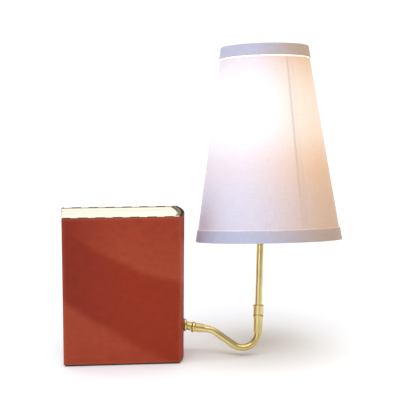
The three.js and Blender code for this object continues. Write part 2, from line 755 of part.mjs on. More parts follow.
// Places a body made about Z so that it starts at a point of the arm's plane and points along a slope.
function alongSlope(geometry, x, z, slope) {
  geometry.rotateY(Math.PI / 2 - slope);
  geometry.translate(x, 0, z);
  return geometry;
}

// The neck: a sloping barrel outside the flange and a straight spigot that turns in the nipple.
function neck() {
  const face = FLANGE_THICKNESS + PIECE_GAP;
  const tilt = COLLAR_BEAD_RADIUS * Math.tan(LEAD_IN_SLOPE - NECK_SLOPE);
  const reach = NECK_LENGTH - COLLAR_BEAD_WIDTH / 2 - PIECE_GAP - tilt;
  const barrel = alongSlope(rod(NECK_RADIUS, -NECK_RADIUS, reach, BODY_FACETS), 0, 0, NECK_SLOPE);
  const outside = block(
    [face, -2 * NECK_RADIUS, -NECK_LENGTH],
    [2 * NECK_LENGTH, 2 * NECK_RADIUS, NECK_LENGTH],
  );
  const spigot = alongX(rod(SPIGOT_RADIUS, -SPIGOT_LENGTH, face + NECK_RADIUS / 2));
  const straightBore = alongX(rod(LEAD_BORE_RADIUS, -2 * SPIGOT_LENGTH, face));
  const slopingBore = alongSlope(rod(LEAD_BORE_RADIUS, 0, 2 * NECK_LENGTH), 0, 0, NECK_SLOPE);
  return cutBy(joined(keptInside(barrel, outside), spigot), straightBore, slopingBore);
}

// The collar: a bead and a taper that carry the start of the bent tube.
function collar() {
  const bore = ARM_TUBE_RADIUS + PIECE_GAP;
  const half = COLLAR_BEAD_WIDTH / 2;
  const mouth = bore + COLLAR_MOUTH_WALL;
  const root = NECK_RADIUS + COLLAR_MOUTH_WALL;
  const bead = Array.from({ length: BEAD_STEPS + 1 }, (_, i) => {
    const turn = (Math.PI * i) / BEAD_STEPS;
    return [root + (COLLAR_BEAD_RADIUS - root) * Math.sin(turn), -half * Math.cos(turn)];
  });
  const profile = [
    [LEAD_BORE_RADIUS, -half],
    ...bead,
    [mouth, COLLAR_LENGTH],
    [bore, COLLAR_LENGTH],
    [bore, 0],
    [LEAD_BORE_RADIUS, 0],
    [LEAD_BORE_RADIUS, -half],
  ];
  return alongSlope(turned(profile), COLLAR_X, COLLAR_Z, LEAD_IN_SLOPE);
}

function armTube() {
  const curve = new CornerCurve(armPath(PIECE_GAP));
  return swept(curve, ARM_TUBE_RADIUS, ARM_BORE_RADIUS, curve.steps, SMALL_FACETS);
}

function armLead() {
  const path = armPath(PIECE_GAP, HOOK_END_LENGTH - FERRULE_SPIGOT_LENGTH - PIECE_GAP);
  const curve = new CornerCurve(path);
  return swept(curve, LEAD_RADIUS, 0, curve.steps, WIRE_FACETS);
}

// The lower ferrule: a taper that grips the end of the hook and ends in a ring.
function ferruleBase() {
  const bore = ARM_TUBE_RADIUS + PIECE_GAP;
  const mouth = bore + COLLAR_MOUTH_WALL;
  const top = FERRULE_BASE_LENGTH - FERRULE_TAPER_LENGTH;
  const ringLow = top - FERRULE_RING_WIDTH;
  const shoulder = HOOK_END_LENGTH - FERRULE_TAPER_LENGTH + PIECE_GAP;
  const profile = [
    [bore, -FERRULE_TAPER_LENGTH],
    [mouth, -FERRULE_TAPER_LENGTH],
    [(mouth + FERRULE_RADIUS) / 2, ringLow - FERRULE_SHOULDER],
    [FERRULE_RADIUS, ringLow],
    [FERRULE_RING_RADIUS, ringLow + FERRULE_RING_BEVEL],
    [FERRULE_RING_RADIUS, top - FERRULE_RING_BEVEL],
    [FERRULE_RADIUS, top],
    [ARM_BORE_RADIUS, top],
    [ARM_BORE_RADIUS, shoulder],
    [bore, shoulder],
    [bore, -FERRULE_TAPER_LENGTH],
  ];
  return turned(profile);
}

// ---- Stem, socket and bulb, in a frame whose Z is the stem's axis ----
const FERRULE_CAP_Z = FERRULE_BASE_LENGTH - FERRULE_TAPER_LENGTH + PIECE_GAP;
const FERRULE_CAP_TOP_Z = FERRULE_CAP_Z + FERRULE_CAP_LENGTH;
const STEM_TUBE_Z = FERRULE_CAP_Z + FERRULE_CAP_FLOOR;
const SPIGOT_LOW_Z = HOOK_END_LENGTH - FERRULE_TAPER_LENGTH - FERRULE_SPIGOT_LENGTH;

function ferruleCap() {
  const bore = STEM_TUBE_RADIUS + PIECE_GAP;
  const spigot = ARM_BORE_RADIUS - SHAFT_GAP;
  const ringLow = FERRULE_CAP_TOP_Z - FERRULE_RING_WIDTH;
  const profile = [
    [LEAD_BORE_RADIUS, SPIGOT_LOW_Z],
    [spigot, SPIGOT_LOW_Z],
    [spigot, FERRULE_CAP_Z],
    [FERRULE_RADIUS, FERRULE_CAP_Z],
    [FERRULE_RADIUS, ringLow],
    [FERRULE_RING_RADIUS, ringLow + FERRULE_RING_BEVEL],
    [FERRULE_RING_RADIUS, FERRULE_CAP_TOP_Z - FERRULE_RING_BEVEL],
    [FERRULE_RADIUS, FERRULE_CAP_TOP_Z],
    [bore, FERRULE_CAP_TOP_Z],
    [bore, STEM_TUBE_Z - PIECE_GAP],
    [LEAD_BORE_RADIUS, STEM_TUBE_Z - PIECE_GAP],
    [LEAD_BORE_RADIUS, SPIGOT_LOW_Z],
  ];
  return turned(profile);
}

const STEM_TOP_Z = SOCKET_HEIGHT + SOCKET_CAP_LENGTH / 3;

function stemTube() {
  return pipe(STEM_TUBE_RADIUS, STEM_BORE_RADIUS, STEM_TUBE_Z, STEM_TOP_Z);
}

function stemLead() {
  return rod(LEAD_RADIUS, SPIGOT_LOW_Z, SOCKET_SHELL_Z - 2 * PIECE_GAP, WIRE_FACETS);
}

// The cap over the stem: a narrow neck that flares to a rounded shoulder and a straight rim.
function socketCap() {
  const wall = SOCKET_SHELL_WALL;
  const bore = STEM_TUBE_RADIUS + PIECE_GAP;
  const neckRadius = bore + SOCKET_CAP_NECK_WALL;
  const shoulderRadius = SOCKET_CAP_RADIUS * SOCKET_CAP_SHOULDER_SPREAD;
  const at = (share) => SOCKET_HEIGHT + SOCKET_CAP_LENGTH * share;
  const outer = [
    [neckRadius, at(0)],
    [neckRadius, at(SOCKET_CAP_NECK_SHARE)],
    [(neckRadius + SOCKET_CAP_RADIUS) / 2, at(SOCKET_CAP_FLARE_SHARE)],
    [shoulderRadius, at(SOCKET_CAP_SHOULDER_SHARE)],
    [SOCKET_CAP_RADIUS, at(SOCKET_CAP_RIM_SHARE)],
    [SOCKET_CAP_RADIUS, at(1)],
  ];
  const inner = [
    [SOCKET_CAP_RADIUS - wall, at(1)],
    [SOCKET_CAP_RADIUS - wall, at(SOCKET_CAP_RIM_SHARE)],
    [shoulderRadius - wall, at(SOCKET_CAP_SHOULDER_SHARE) + wall],
    [bore, at(SOCKET_CAP_FLARE_SHARE) + wall],
    [bore, at(0)],
  ];
  return turned([...outer, ...inner, outer[0]]);
}

function switchHole(radius) {
  const hole = alongMinusY(rod(radius, 0, 2 * SOCKET_SHELL_RADIUS));
  hole.translate(0, 0, SWITCH_Z);
  return hole;
}

function socketShell() {
  const bore = SOCKET_SHELL_RADIUS - SOCKET_SHELL_WALL;
  const bead = FERRULE_RING_WIDTH;
  const low = SOCKET_SHELL_Z;
  const top = SOCKET_MOUTH_Z;
  const profile = [
    [bore, low],
    [SOCKET_SHELL_RADIUS, low],
    [SOCKET_SHELL_RADIUS, top - bead],
    [SOCKET_CAP_RADIUS, top - bead / 2],
    [SOCKET_SHELL_RADIUS, top],
    [bore, top],
    [bore, low],
  ];
  return cutBy(turned(profile), switchHole(SWITCH_SHAFT_RADIUS + SHAFT_GAP));
}

function insulatingSleeve() {
  const top = SOCKET_MOUTH_Z + SLEEVE_PROUD;
  const sleeve = pipe(SLEEVE_RADIUS, SLEEVE_RADIUS - SLEEVE_WALL, SOCKET_SHELL_Z, top, BODY_FACETS);
  return cutBy(sleeve, switchHole(SWITCH_SHAFT_RADIUS + SHAFT_GAP));
}

function socketCore() {
  const body = rod(CORE_RADIUS, SOCKET_SHELL_Z, CORE_TOP_Z, BODY_FACETS);
  return cutBy(body, switchHole(SWITCH_SHAFT_RADIUS + SHAFT_GAP));
}

function centreContact() {
  const low = CORE_TOP_Z + PIECE_GAP;
  return rod(CONTACT_RADIUS, low, low + CONTACT_THICKNESS);
}

// A thread rolled in sheet metal, as a stack of shallow waves.
function waves(radius, low, high, count, depth) {
  const points = [];
  const pitch = (high - low) / count;
  for (let i = 0; i < count; i += 1) {
    points.push([radius - depth, low + i * pitch], [radius, low + (i + 0.5) * pitch]);
  }
  points.push([radius - depth, high]);
  return points;
}

function screwShell() {
  const low = CORE_TOP_Z + PIECE_GAP;
  return pipe(SCREW_SHELL_RADIUS, SCREW_SHELL_RADIUS - SCREW_SHELL_WALL, low, SOCKET_MOUTH_Z, BODY_FACETS);
}

function bulbBase() {
  const low = BULB_BASE_Z;
  const top = BULB_BASE_Z + BULB_BASE_LENGTH;
  const threadLow = low + BULB_BASE_HEEL;
  const rootRadius = BULB_BASE_RADIUS - BULB_THREAD_DEPTH;
  const bore = rootRadius - BULB_BASE_WALL;
  const floor = threadLow + BULB_BASE_WALL;
  const profile = [
    [0, low],
    [BULB_BASE_RADIUS - BULB_BASE_TAPER, low],
    ...waves(BULB_BASE_RADIUS, threadLow, top - BULB_BASE_RIM, BULB_THREAD_TURNS, BULB_THREAD_DEPTH),
    [rootRadius, top],
    [bore, top],
    [bore, floor],
    [0, floor],
  ];
  return turned(profile, BULB_FACETS);
}

function bulbTip() {
  const low = BULB_TIP_Z;
  const top = BULB_TIP_Z + BULB_TIP_LENGTH;
  const profile = [
    [0, low],
    [CONTACT_RADIUS, low],
    [CONTACT_RADIUS + BULB_TIP_STEP, low + BULB_TIP_STEP],
    [BULB_BASE_RADIUS - BULB_TIP_TAPER, top],
    [0, top],
  ];
  return turned(profile, BULB_FACETS);
}

// Points of the bulb's outline from the neck to the crown, moved inwards by an offset.
function bulbOutline(inset) {
  const neck = BULB_NECK_RADIUS - inset;
  const globe = BULB_RADIUS - inset;
  const joinRadius = globe * Math.cos(BULB_JOIN_ANGLE);
  const joinZ = BULB_CENTRE_Z + globe * Math.sin(BULB_JOIN_ANGLE);
  const points = [[neck, BULB_GLASS_Z]];
  const neckTopZ = BULB_GLASS_Z + BULB_NECK_SHARE * BULB_RADIUS;
  for (let i = 0; i < BULB_BLEND_STEPS; i += 1) {
    const share = i / BULB_BLEND_STEPS;
    const ease = share * share * (1 + BULB_SWELL - BULB_SWELL * share);
    points.push([neck + (joinRadius - neck) * ease, neckTopZ + (joinZ - neckTopZ) * share]);
  }
  for (let i = 0; i < BULB_CROWN_STEPS; i += 1) {
    const angle = BULB_JOIN_ANGLE + ((Math.PI / 2 - BULB_JOIN_ANGLE) * i) / BULB_CROWN_STEPS;
    points.push([globe * Math.cos(angle), BULB_CENTRE_Z + globe * Math.sin(angle)]);
  }
  points.push([0, BULB_CENTRE_Z + globe]);
  return points;
}

function bulbGlassShell() {
  const outer = bulbOutline(0);
  const inner = bulbOutline(BULB_GLASS_WALL).reverse();
  return turned([...outer, ...inner, outer[0]], BULB_FACETS);
}

const SUPPORT_LOW_Z = BULB_BASE_Z + BULB_BASE_HEEL + BULB_BASE_WALL + PIECE_GAP;
const SUPPORT_TOP_Z = BULB_GLASS_Z + FILAMENT_SUPPORT_LENGTH;

function filamentSupport() {
  const foot = BULB_BASE_RADIUS - BULB_BASE_WALL - FILAMENT_FOOT_INSET;
  const waist = FILAMENT_SUPPORT_RADIUS;
  const profile = [
    [0, SUPPORT_LOW_Z],
    [foot, SUPPORT_LOW_Z],
    [foot, SUPPORT_LOW_Z + FILAMENT_FOOT_HEIGHT],
    [waist, SUPPORT_LOW_Z + FILAMENT_WAIST_HEIGHT],
    [waist / 2, SUPPORT_TOP_Z - FILAMENT_TIP_HEIGHT],
    [0, SUPPORT_TOP_Z],
  ];
  return turned(profile, SMALL_FACETS);
}

function filament() {
  const height = SUPPORT_TOP_Z + FILAMENT_RISE;
  const half = FILAMENT_SPAN / 2;
  const at = (x, z) => new THREE.Vector3(x, 0, z);
  const points = [
    at(-FILAMENT_FEET, SUPPORT_TOP_Z + PIECE_GAP),
    at(-half, height - FILAMENT_SAG),
    at(-half / 2, height + FILAMENT_BOW),
    at(half / 2, height + FILAMENT_BOW),
    at(half, height - FILAMENT_SAG),
    at(FILAMENT_FEET, SUPPORT_TOP_Z + PIECE_GAP),
  ];
  return swept(new THREE.CatmullRomCurve3(points), FILAMENT_RADIUS, 0, FILAMENT_STEPS, FILAMENT_FACETS);
}

// ---- Switch key, made about Z and turned to point at the reader ----
const SHAFT_START = CORE_RADIUS - SWITCH_SHAFT_DEPTH;
const KNOB_START = SHAFT_START + SWITCH_SHAFT_LENGTH + PIECE_GAP;

function switchShaft() {
  const shaft = alongMinusY(rod(SWITCH_SHAFT_RADIUS, SHAFT_START, SHAFT_START + SWITCH_SHAFT_LENGTH));
  shaft.translate(0, 0, SWITCH_Z);
  return shaft;
}

// A flattened key, waisted where it meets the shaft.
function switchKnob() {
  const end = KNOB_START + KNOB_LENGTH;
  const barrel = turned([
    [0, KNOB_START],
    [KNOB_RADIUS * KNOB_FOOT_SPREAD, KNOB_START],
    [KNOB_RADIUS * KNOB_WAIST_SPREAD, KNOB_START + KNOB_LENGTH * KNOB_WAIST_SHARE],
    [KNOB_RADIUS, KNOB_START + KNOB_LENGTH * KNOB_BODY_SHARE],
    [KNOB_RADIUS, end - KNOB_ROUND],
    [KNOB_RADIUS - KNOB_ROUND, end],
    [0, end],
  ], BODY_FACETS);
  const slab = block(
    [-2 * KNOB_RADIUS, -KNOB_FLAT, KNOB_START - KNOB_LENGTH],
    [2 * KNOB_RADIUS, KNOB_FLAT, end + KNOB_LENGTH],
  );
  const knob = alongMinusY(keptInside(barrel, slab));
  knob.translate(0, 0, SWITCH_Z);
  return knob;
}

// ---- Bulb clip ----
// A spring wire loop: two legs that lie on the bulb's crown, joined under the saddle.
function clipLoop(side) {
  const reach = BULB_RADIUS + PIECE_GAP + CLIP_WIRE_RADIUS;
  const legPoint = (angle, turn) => new THREE.Vector3(
    reach * Math.sin(angle) * Math.cos(turn),
    reach * Math.sin(angle) * Math.sin(turn),
    BULB_CENTRE_Z + reach * Math.cos(angle),
  );
  const middle = side > 0 ? 0 : Math.PI;
  const leg = (turn) => Array.from({ length: CLIP_LEG_STEPS + 1 }, (_, i) => {
    const share = i / CLIP_LEG_STEPS;
    return legPoint(CLIP_LEG_LOW_ANGLE + (CLIP_LEG_TOP_ANGLE - CLIP_LEG_LOW_ANGLE) * share, turn);
  });
  const under = SADDLE_Z - 2 * PIECE_GAP - CLIP_WIRE_RADIUS;
  const hub = CLIP_HUB_RADIUS;
  const across = (turn) => new THREE.Vector3(hub * Math.cos(turn), hub * Math.sin(turn), under);
  const first = middle - CLIP_LEG_SPREAD;
  const second = middle + CLIP_LEG_SPREAD;
  const points = [...leg(first), across(first), across(middle), across(second), ...leg(second).reverse()];
  const curve = new THREE.CatmullRomCurve3(points, false, 'centripetal');
  return swept(curve, CLIP_WIRE_RADIUS, 0, CLIP_STEPS, WIRE_FACETS);
}

function pivotHole(radius, height) {
  const hole = alongMinusY(rod(radius, -2 * SADDLE_RADIUS, 2 * SADDLE_RADIUS));
  hole.translate(0, 0, height);
  return hole;
}

function clipSaddle() {
  const plate = rod(SADDLE_RADIUS, SADDLE_Z, SADDLE_Z + SADDLE_THICKNESS, BODY_FACETS);
  const half = TAB_WIDTH / 2;
  const tab = block(
    [-half, -TAB_THICKNESS / 2, SADDLE_Z + SADDLE_THICKNESS / 2],
    [half, TAB_THICKNESS / 2, PIVOT_Z],
  );
  const round = alongMinusY(rod(half, -TAB_THICKNESS / 2, TAB_THICKNESS / 2, BODY_FACETS));
  round.translate(0, 0, PIVOT_Z);
  return cutBy(joined(plate, tab, round), pivotHole(RIVET_RADIUS + SHAFT_GAP, PIVOT_Z));
}

// ---- Shade, in a frame whose origin is the pivot and whose Z is the shade's axis ----
const SHADE_TOP_Z = SHADE_PIVOT_DROP;
const SHADE_BOTTOM_Z = SHADE_PIVOT_DROP - SHADE_HEIGHT;
const SHADE_TAPER = (SHADE_BOTTOM_RADIUS - SHADE_TOP_RADIUS) / SHADE_HEIGHT;

function shadeRadiusAt(z) {
  return SHADE_TOP_RADIUS + (SHADE_TOP_Z - z) * SHADE_TAPER;
}

// A conical wall between two heights, given by its depth under the shade's outer surface.
function coneWall(depth, thickness, low, high) {
  const outer = (z) => shadeRadiusAt(z) - depth;
  const profile = [
    [outer(low) - thickness, low],
    [outer(low), low],
    [outer(high), high],
    [outer(high) - thickness, high],
    [outer(low) - thickness, low],
  ];
  return turned(profile, SHADE_FACETS);
}

const FABRIC_DEPTH = TRIM_THICKNESS + PIECE_GAP;
const LINER_DEPTH = FABRIC_DEPTH + FABRIC_THICKNESS + PIECE_GAP;
const INSIDE_DEPTH = LINER_DEPTH + LINER_THICKNESS + PIECE_GAP;
const WALL_TOP_Z = SHADE_TOP_Z - TRIM_THICKNESS - PIECE_GAP;
const WALL_BOTTOM_Z = SHADE_BOTTOM_Z + TRIM_THICKNESS + PIECE_GAP;

// A cloth band folded over a rim, from the rim's end towards the middle of the shade.
function rimTrim(endZ, inward) {
  const fold = endZ + inward * TRIM_THICKNESS;
  const outsideZ = endZ + inward * TRIM_HEIGHT;
  const insideZ = endZ + inward * TRIM_INSIDE_HEIGHT;
  const insideDepth = INSIDE_DEPTH + TRIM_THICKNESS;
  const profile = [
    [shadeRadiusAt(endZ), endZ],
    [shadeRadiusAt(outsideZ), outsideZ],
    [shadeRadiusAt(outsideZ) - TRIM_THICKNESS, outsideZ],
    [shadeRadiusAt(fold) - TRIM_THICKNESS, fold],
    [shadeRadiusAt(fold) - INSIDE_DEPTH, fold],
    [shadeRadiusAt(insideZ) - INSIDE_DEPTH, insideZ],
    [shadeRadiusAt(insideZ) - insideDepth, insideZ],
    [shadeRadiusAt(endZ) - insideDepth, endZ],
  ];
  return turned([...profile, profile[0]], SHADE_FACETS);
}

const RING_DEPTH = INSIDE_DEPTH + TRIM_THICKNESS + PIECE_GAP + RING_WIRE_RADIUS;
const RING_INSET = RING_WIRE_RADIUS + TRIM_THICKNESS;

function wireRing(height) {
  const centre = shadeRadiusAt(height) - RING_DEPTH;
  const profile = Array.from({ length: WIRE_FACETS }, (_, i) => {
    const turn = (i / WIRE_FACETS) * 2 * Math.PI;
    return [centre + RING_WIRE_RADIUS * Math.cos(turn), height + RING_WIRE_RADIUS * Math.sin(turn)];
  });
  return turned([...profile, profile[0]], RING_FACETS);
}

const TOP_RING_Z = SHADE_TOP_Z - RING_INSET;
const BOTTOM_RING_Z = SHADE_BOTTOM_Z + RING_INSET;

// The yoke: two ears that straddle the clip's tab, under a round cap that carries the spider arms.
function pivotYoke() {
  const half = TAB_WIDTH / 2;
  const inner = TAB_THICKNESS / 2 + PIECE_GAP;
  const outer = inner + YOKE_EAR_THICKNESS;
  const ears = [-1, 1].map((side) => {
    const [near, far] = side > 0 ? [inner, outer] : [-outer, -inner];
    const plate = block([-half, near, 0], [half, far, YOKE_HEIGHT + YOKE_CAP_THICKNESS / 2]);
    const round = rod(half, near, far, BODY_FACETS);
    round.rotateX(-Math.PI / 2);
    return joined(plate, round);
  });
  const cap = rod(YOKE_CAP_RADIUS, YOKE_HEIGHT, YOKE_HEIGHT + YOKE_CAP_THICKNESS, BODY_FACETS);
  return cutBy(joined(cap, ...ears), pivotHole(RIVET_RADIUS + PIECE_GAP, 0));
}

function pivotRivet() {
  const inner = TAB_THICKNESS / 2 + YOKE_EAR_THICKNESS + 2 * PIECE_GAP;
  const outer = inner + RIVET_HEAD_THICKNESS;
  const profile = [
    [0, -outer],
    [RIVET_HEAD_RADIUS * RIVET_CROWN_SPREAD, -outer],
    [RIVET_HEAD_RADIUS, -inner],
    [RIVET_RADIUS, -inner],
    [RIVET_RADIUS, inner],
    [RIVET_HEAD_RADIUS, inner],
    [RIVET_HEAD_RADIUS * RIVET_CROWN_SPREAD, outer],
    [0, outer],
  ];
  return alongMinusY(turned(profile, SMALL_FACETS));
}

function spiderArm(index) {
  const turn = (index / SPIDER_ARMS) * 2 * Math.PI + Math.PI / 2;
  const start = YOKE_CAP_RADIUS + PIECE_GAP;
  const end = shadeRadiusAt(TOP_RING_Z) - RING_DEPTH - RING_WIRE_RADIUS - PIECE_GAP;
  const low = YOKE_HEIGHT + YOKE_CAP_THICKNESS / 2;
  const at = (radius, z) => new THREE.Vector3(radius * Math.cos(turn), radius * Math.sin(turn), z);
  const points = [
    at(start, low),
    at(start + SPIDER_ROOT, low),
    at(end - SPIDER_END, TOP_RING_Z - SPIDER_END_RISE),
    at(end, TOP_RING_Z),
  ];
  const curve = new THREE.CatmullRomCurve3(points, false, 'centripetal');
  return swept(curve, SPIDER_ARM_RADIUS, 0, SPIDER_STEPS, WIRE_FACETS);
}

function makeShade() {
  const shade = new THREE.Group();
  shade.name = 'shade';
  shade.add(
    piece('pivot_yoke', pivotYoke(), wireSteel()),
    piece('pivot_rivet', pivotRivet(), wireSteel()),
    piece('top_ring', wireRing(TOP_RING_Z), wireSteel()),
    piece('bottom_ring', wireRing(BOTTOM_RING_Z), wireSteel()),
    piece('shade_liner', coneWall(LINER_DEPTH, LINER_THICKNESS, WALL_BOTTOM_Z, WALL_TOP_Z), linerSheet()),
    piece('shade_fabric', coneWall(FABRIC_DEPTH, FABRIC_THICKNESS, WALL_BOTTOM_Z, WALL_TOP_Z), linenCloth()),
    piece('top_trim', rimTrim(SHADE_TOP_Z, -1), trimCloth()),
    piece('bottom_trim', rimTrim(SHADE_BOTTOM_Z, 1), trimCloth()),
  );
  for (let i = 0; i < SPIDER_ARMS; i += 1) {
    shade.add(piece(`spider_arm_${i + 1}`, spiderArm(i), wireSteel()));
  }
  return shade;
}

function makeClip() {
  const clip = new THREE.Group();
  clip.name = 'clip';
  clip.add(
    piece('clip_loop_left', clipLoop(-1), wireSteel()),
    piece('clip_loop_right', clipLoop(1), wireSteel()),
    piece('clip_saddle', clipSaddle(), wireSteel()),
  );
  const shade = makeShade();
  shade.position.set(0, 0, PIVOT_Z);
  shade.rotation.y = STEM_SLOPE - Math.PI / 2 - SHADE_LEAN;
  clip.add(shade);
  return clip;
}

function makeStem() {
  const stem = new THREE.Group();
  stem.name = 'stem';
  stem.add(
    piece('ferrule_cap', ferruleCap(), agedBrass()),
    piece('stem_tube', stemTube(), agedBrass()),
    piece('stem_lead', stemLead(), goldLead()),
    piece('socket_cap', socketCap(), agedBrass()),
    piece('socket_shell', socketShell(), agedBrass()),
    piece('insulating_sleeve', insulatingSleeve(), fibreSleeve()),
    piece('socket_core', socketCore(), phenolic()),
    piece('centre_contact', centreContact(), agedBrass()),
    piece('screw_shell', screwShell(), agedBrass()),
    piece('bulb_base', bulbBase(), aluminiumCap()),
    piece('bulb_tip', bulbTip(), phenolic()),
    piece('bulb_glass', bulbGlassShell(), bulbGlass()),
    piece('filament_support', filamentSupport(), bulbGlass()),
    piece('filament', filament(), filamentWire()),
    piece('switch_shaft', switchShaft(), agedBrass()),
    piece('switch_knob', switchKnob(), phenolic()),
    makeClip(),
  );
  return stem;
}

function makeArm() {
  const arm = new THREE.Group();
  arm.name = 'arm';
  arm.add(
    piece('neck', neck(), agedBrass()),
    piece('collar', collar(), agedBrass()),
    piece('arm_tube', armTube(), agedBrass()),
    piece('arm_lead', armLead(), goldLead()),
  );
  const end = armPath(0, FERRULE_TAPER_LENGTH).at;
  const upright = new THREE.Group();
  upright.name = 'stem_axis';
  upright.position.set(end.x, 0, end.y);
  upright.rotation.y = Math.PI / 2 - STEM_SLOPE;
  upright.add(piece('ferrule_base', ferruleBase(), agedBrass()), makeStem());
  arm.add(upright);
  return arm;
}

const group = new THREE.Group();
group.name = 'reading_lamp';
const arm = makeArm();
arm.position.set(SPINE_X, 0, SWIVEL_HEIGHT);
arm.rotation.x = -ARM_LEAN;
group.add(makeBase(), arm);

export default group;
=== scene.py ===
import json
import math
import random

import bmesh
import bpy
from mathutils import Matrix, Vector


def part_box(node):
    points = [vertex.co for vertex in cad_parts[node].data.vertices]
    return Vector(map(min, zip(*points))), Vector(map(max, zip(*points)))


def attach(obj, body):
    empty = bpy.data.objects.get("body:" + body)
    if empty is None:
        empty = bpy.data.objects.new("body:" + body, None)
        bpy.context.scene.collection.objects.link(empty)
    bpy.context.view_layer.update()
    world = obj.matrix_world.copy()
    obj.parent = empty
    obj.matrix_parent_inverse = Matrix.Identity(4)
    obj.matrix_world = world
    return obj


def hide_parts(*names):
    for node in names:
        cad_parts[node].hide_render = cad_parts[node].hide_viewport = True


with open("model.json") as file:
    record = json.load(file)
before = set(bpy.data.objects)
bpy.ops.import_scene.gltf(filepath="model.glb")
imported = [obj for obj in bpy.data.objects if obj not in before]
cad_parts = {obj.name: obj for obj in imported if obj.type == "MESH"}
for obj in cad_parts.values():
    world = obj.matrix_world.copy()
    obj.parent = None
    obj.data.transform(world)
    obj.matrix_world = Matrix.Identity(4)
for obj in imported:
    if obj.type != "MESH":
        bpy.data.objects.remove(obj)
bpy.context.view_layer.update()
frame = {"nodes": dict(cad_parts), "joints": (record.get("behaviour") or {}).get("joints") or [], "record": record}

MM = 0.001
TURN = 2 * math.pi


# ---- Places, read from the frame ----
def place_at(origin, y_axis, z_axis):
    """A frame with its origin, Y and Z given, as a 4x4 matrix."""
    y, z = Vector(y_axis).normalized(), Vector(z_axis).normalized()
    x = y.cross(z).normalized()
    turn = Matrix((x, y, z)).transposed().to_4x4()
    return Matrix.Translation(Vector(origin)) @ turn


JOINTS = {joint["name"]: joint for joint in frame["joints"]}
SIDEWAYS = Vector((1, 0, 0))
DEPTH_AXIS = Vector(JOINTS["shade_tilt"]["axis"])
STEM_AXIS = Vector(JOINTS["stem_swivel"]["axis"])
ARM_UP = SIDEWAYS.cross(DEPTH_AXIS)
SWIVEL = Vector(JOINTS["arm_swivel"]["pos_m"])

ARM = place_at(SWIVEL, DEPTH_AXIS, ARM_UP)
STEM = place_at(JOINTS["stem_swivel"]["pos_m"], DEPTH_AXIS, STEM_AXIS)
SHADE_LEAN = math.radians(0.45)
SHADE_UP = Matrix.Rotation(-SHADE_LEAN, 3, DEPTH_AXIS) @ ARM_UP
SHADE = place_at(JOINTS["shade_tilt"]["pos_m"], DEPTH_AXIS, SHADE_UP)
ACROSS = place_at((0, 0, SWIVEL.z), (0, 1, 0), SIDEWAYS)


def local_points(name, place):
    """A CAD node's vertices in a frame of their own."""
    into = place.inverted()
    return [into @ vertex.co for vertex in frame["nodes"][name].data.vertices]


def extent(name, place):
    """The lowest and highest height and the largest radius of a CAD node about a frame's Z."""
    points = local_points(name, place)
    heights = [point.z for point in points]
    radius = max(math.hypot(point.x, point.y) for point in points)
    return min(heights), max(heights), radius


def wall_sizes(name):
    """Lowest and highest height of a conical wall, with its outer radius at each."""
    points = local_points(name, SHADE)
    low, high, _ = extent(name, SHADE)
    near = 0.5 * MM
    low_radius = max(math.hypot(point.x, point.y) for point in points if point.z < low + near)
    high_radius = max(math.hypot(point.x, point.y) for point in points if point.z > high - near)
    return low, low_radius, high, high_radius


def polar(place, radius, angle, height):
    """A point given by radius, angle and height about a frame's Z."""
    return place @ Vector((radius * math.cos(angle), radius * math.sin(angle), height))


# ---- Mesh helpers ----
def new_object(name, vertices, faces, smooth_angle=35):
    """A mesh object in the scene, with its faces turned outwards."""
    mesh = bpy.data.meshes.new(name)
    mesh.from_pydata([tuple(vertex) for vertex in vertices], [], faces)
    mesh.update()
    build = bmesh.new()
    build.from_mesh(mesh)
    bmesh.ops.recalc_face_normals(build, faces=build.faces)
    build.to_mesh(mesh)
    build.free()
    made = bpy.data.objects.new(name, mesh)
    bpy.context.scene.collection.objects.link(made)
    shade_by_angle(made, smooth_angle)
    return made


def shade_by_angle(target, degrees):
    """Smooth shading, with an edge wherever faces meet at more than an angle."""
    mesh = target.data
    mesh.polygons.foreach_set("use_smooth", [True] * len(mesh.polygons))
    mesh.set_sharp_from_angle(angle=math.radians(degrees))


def finish_piece(piece, body, slot, nodes=(), material=None):
    """Rides a piece on its body in place of CAD nodes, with the material of a record slot."""
    piece.data.materials.clear()
    piece.data.materials.append(material or MATERIALS[slot])
    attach(piece, body)
    if nodes:
        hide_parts(*nodes)


def loft(rings, closed_path=False, caps=False):
    """Vertices and faces of a skin over closed rings of equal length."""
    count = len(rings[0])
    vertices = [point for ring in rings for point in ring]
    faces = []
    for i in range(len(rings) if closed_path else len(rings) - 1):
        here, there = i * count, (i + 1) % len(rings) * count
        for k in range(count):
            nxt = (k + 1) % count
            faces.append((here + k, here + nxt, there + nxt, there + k))
    if caps:
        faces.append(tuple(reversed(range(count))))
        faces.append(tuple((len(rings) - 1) * count + k for k in range(count)))
    return vertices, faces


def outline_of(name, place):
    """A turned CAD node's half outline, as (radius, height) points, and whether it is a loop."""
    grain = 2e-6
    on_plane = 2 * grain
    kept = {}
    for index, point in enumerate(local_points(name, place)):
        if abs(point.x) < on_plane and point.y < on_plane:
            kept[index] = round(-point.y / grain), round(point.z / grain)
    near = {}
    for edge in frame["nodes"][name].data.edges:
        a, b = edge.vertices
        if a in kept and b in kept and kept[a] != kept[b]:
            near.setdefault(kept[a], set()).add(kept[b])
            near.setdefault(kept[b], set()).add(kept[a])

    def by_height(spot):
        return spot[1], spot[0]

    ends = sorted((spot for spot in near if len(near[spot]) == 1), key=by_height)
    walk = [ends[0] if ends else min(near, key=by_height)]
    while True:
        onward = [spot for spot in sorted(near[walk[-1]]) if spot not in walk]
        if not onward:
            break
        walk.append(onward[0])
    return [(radius * grain, height * grain) for radius, height in walk], not ends


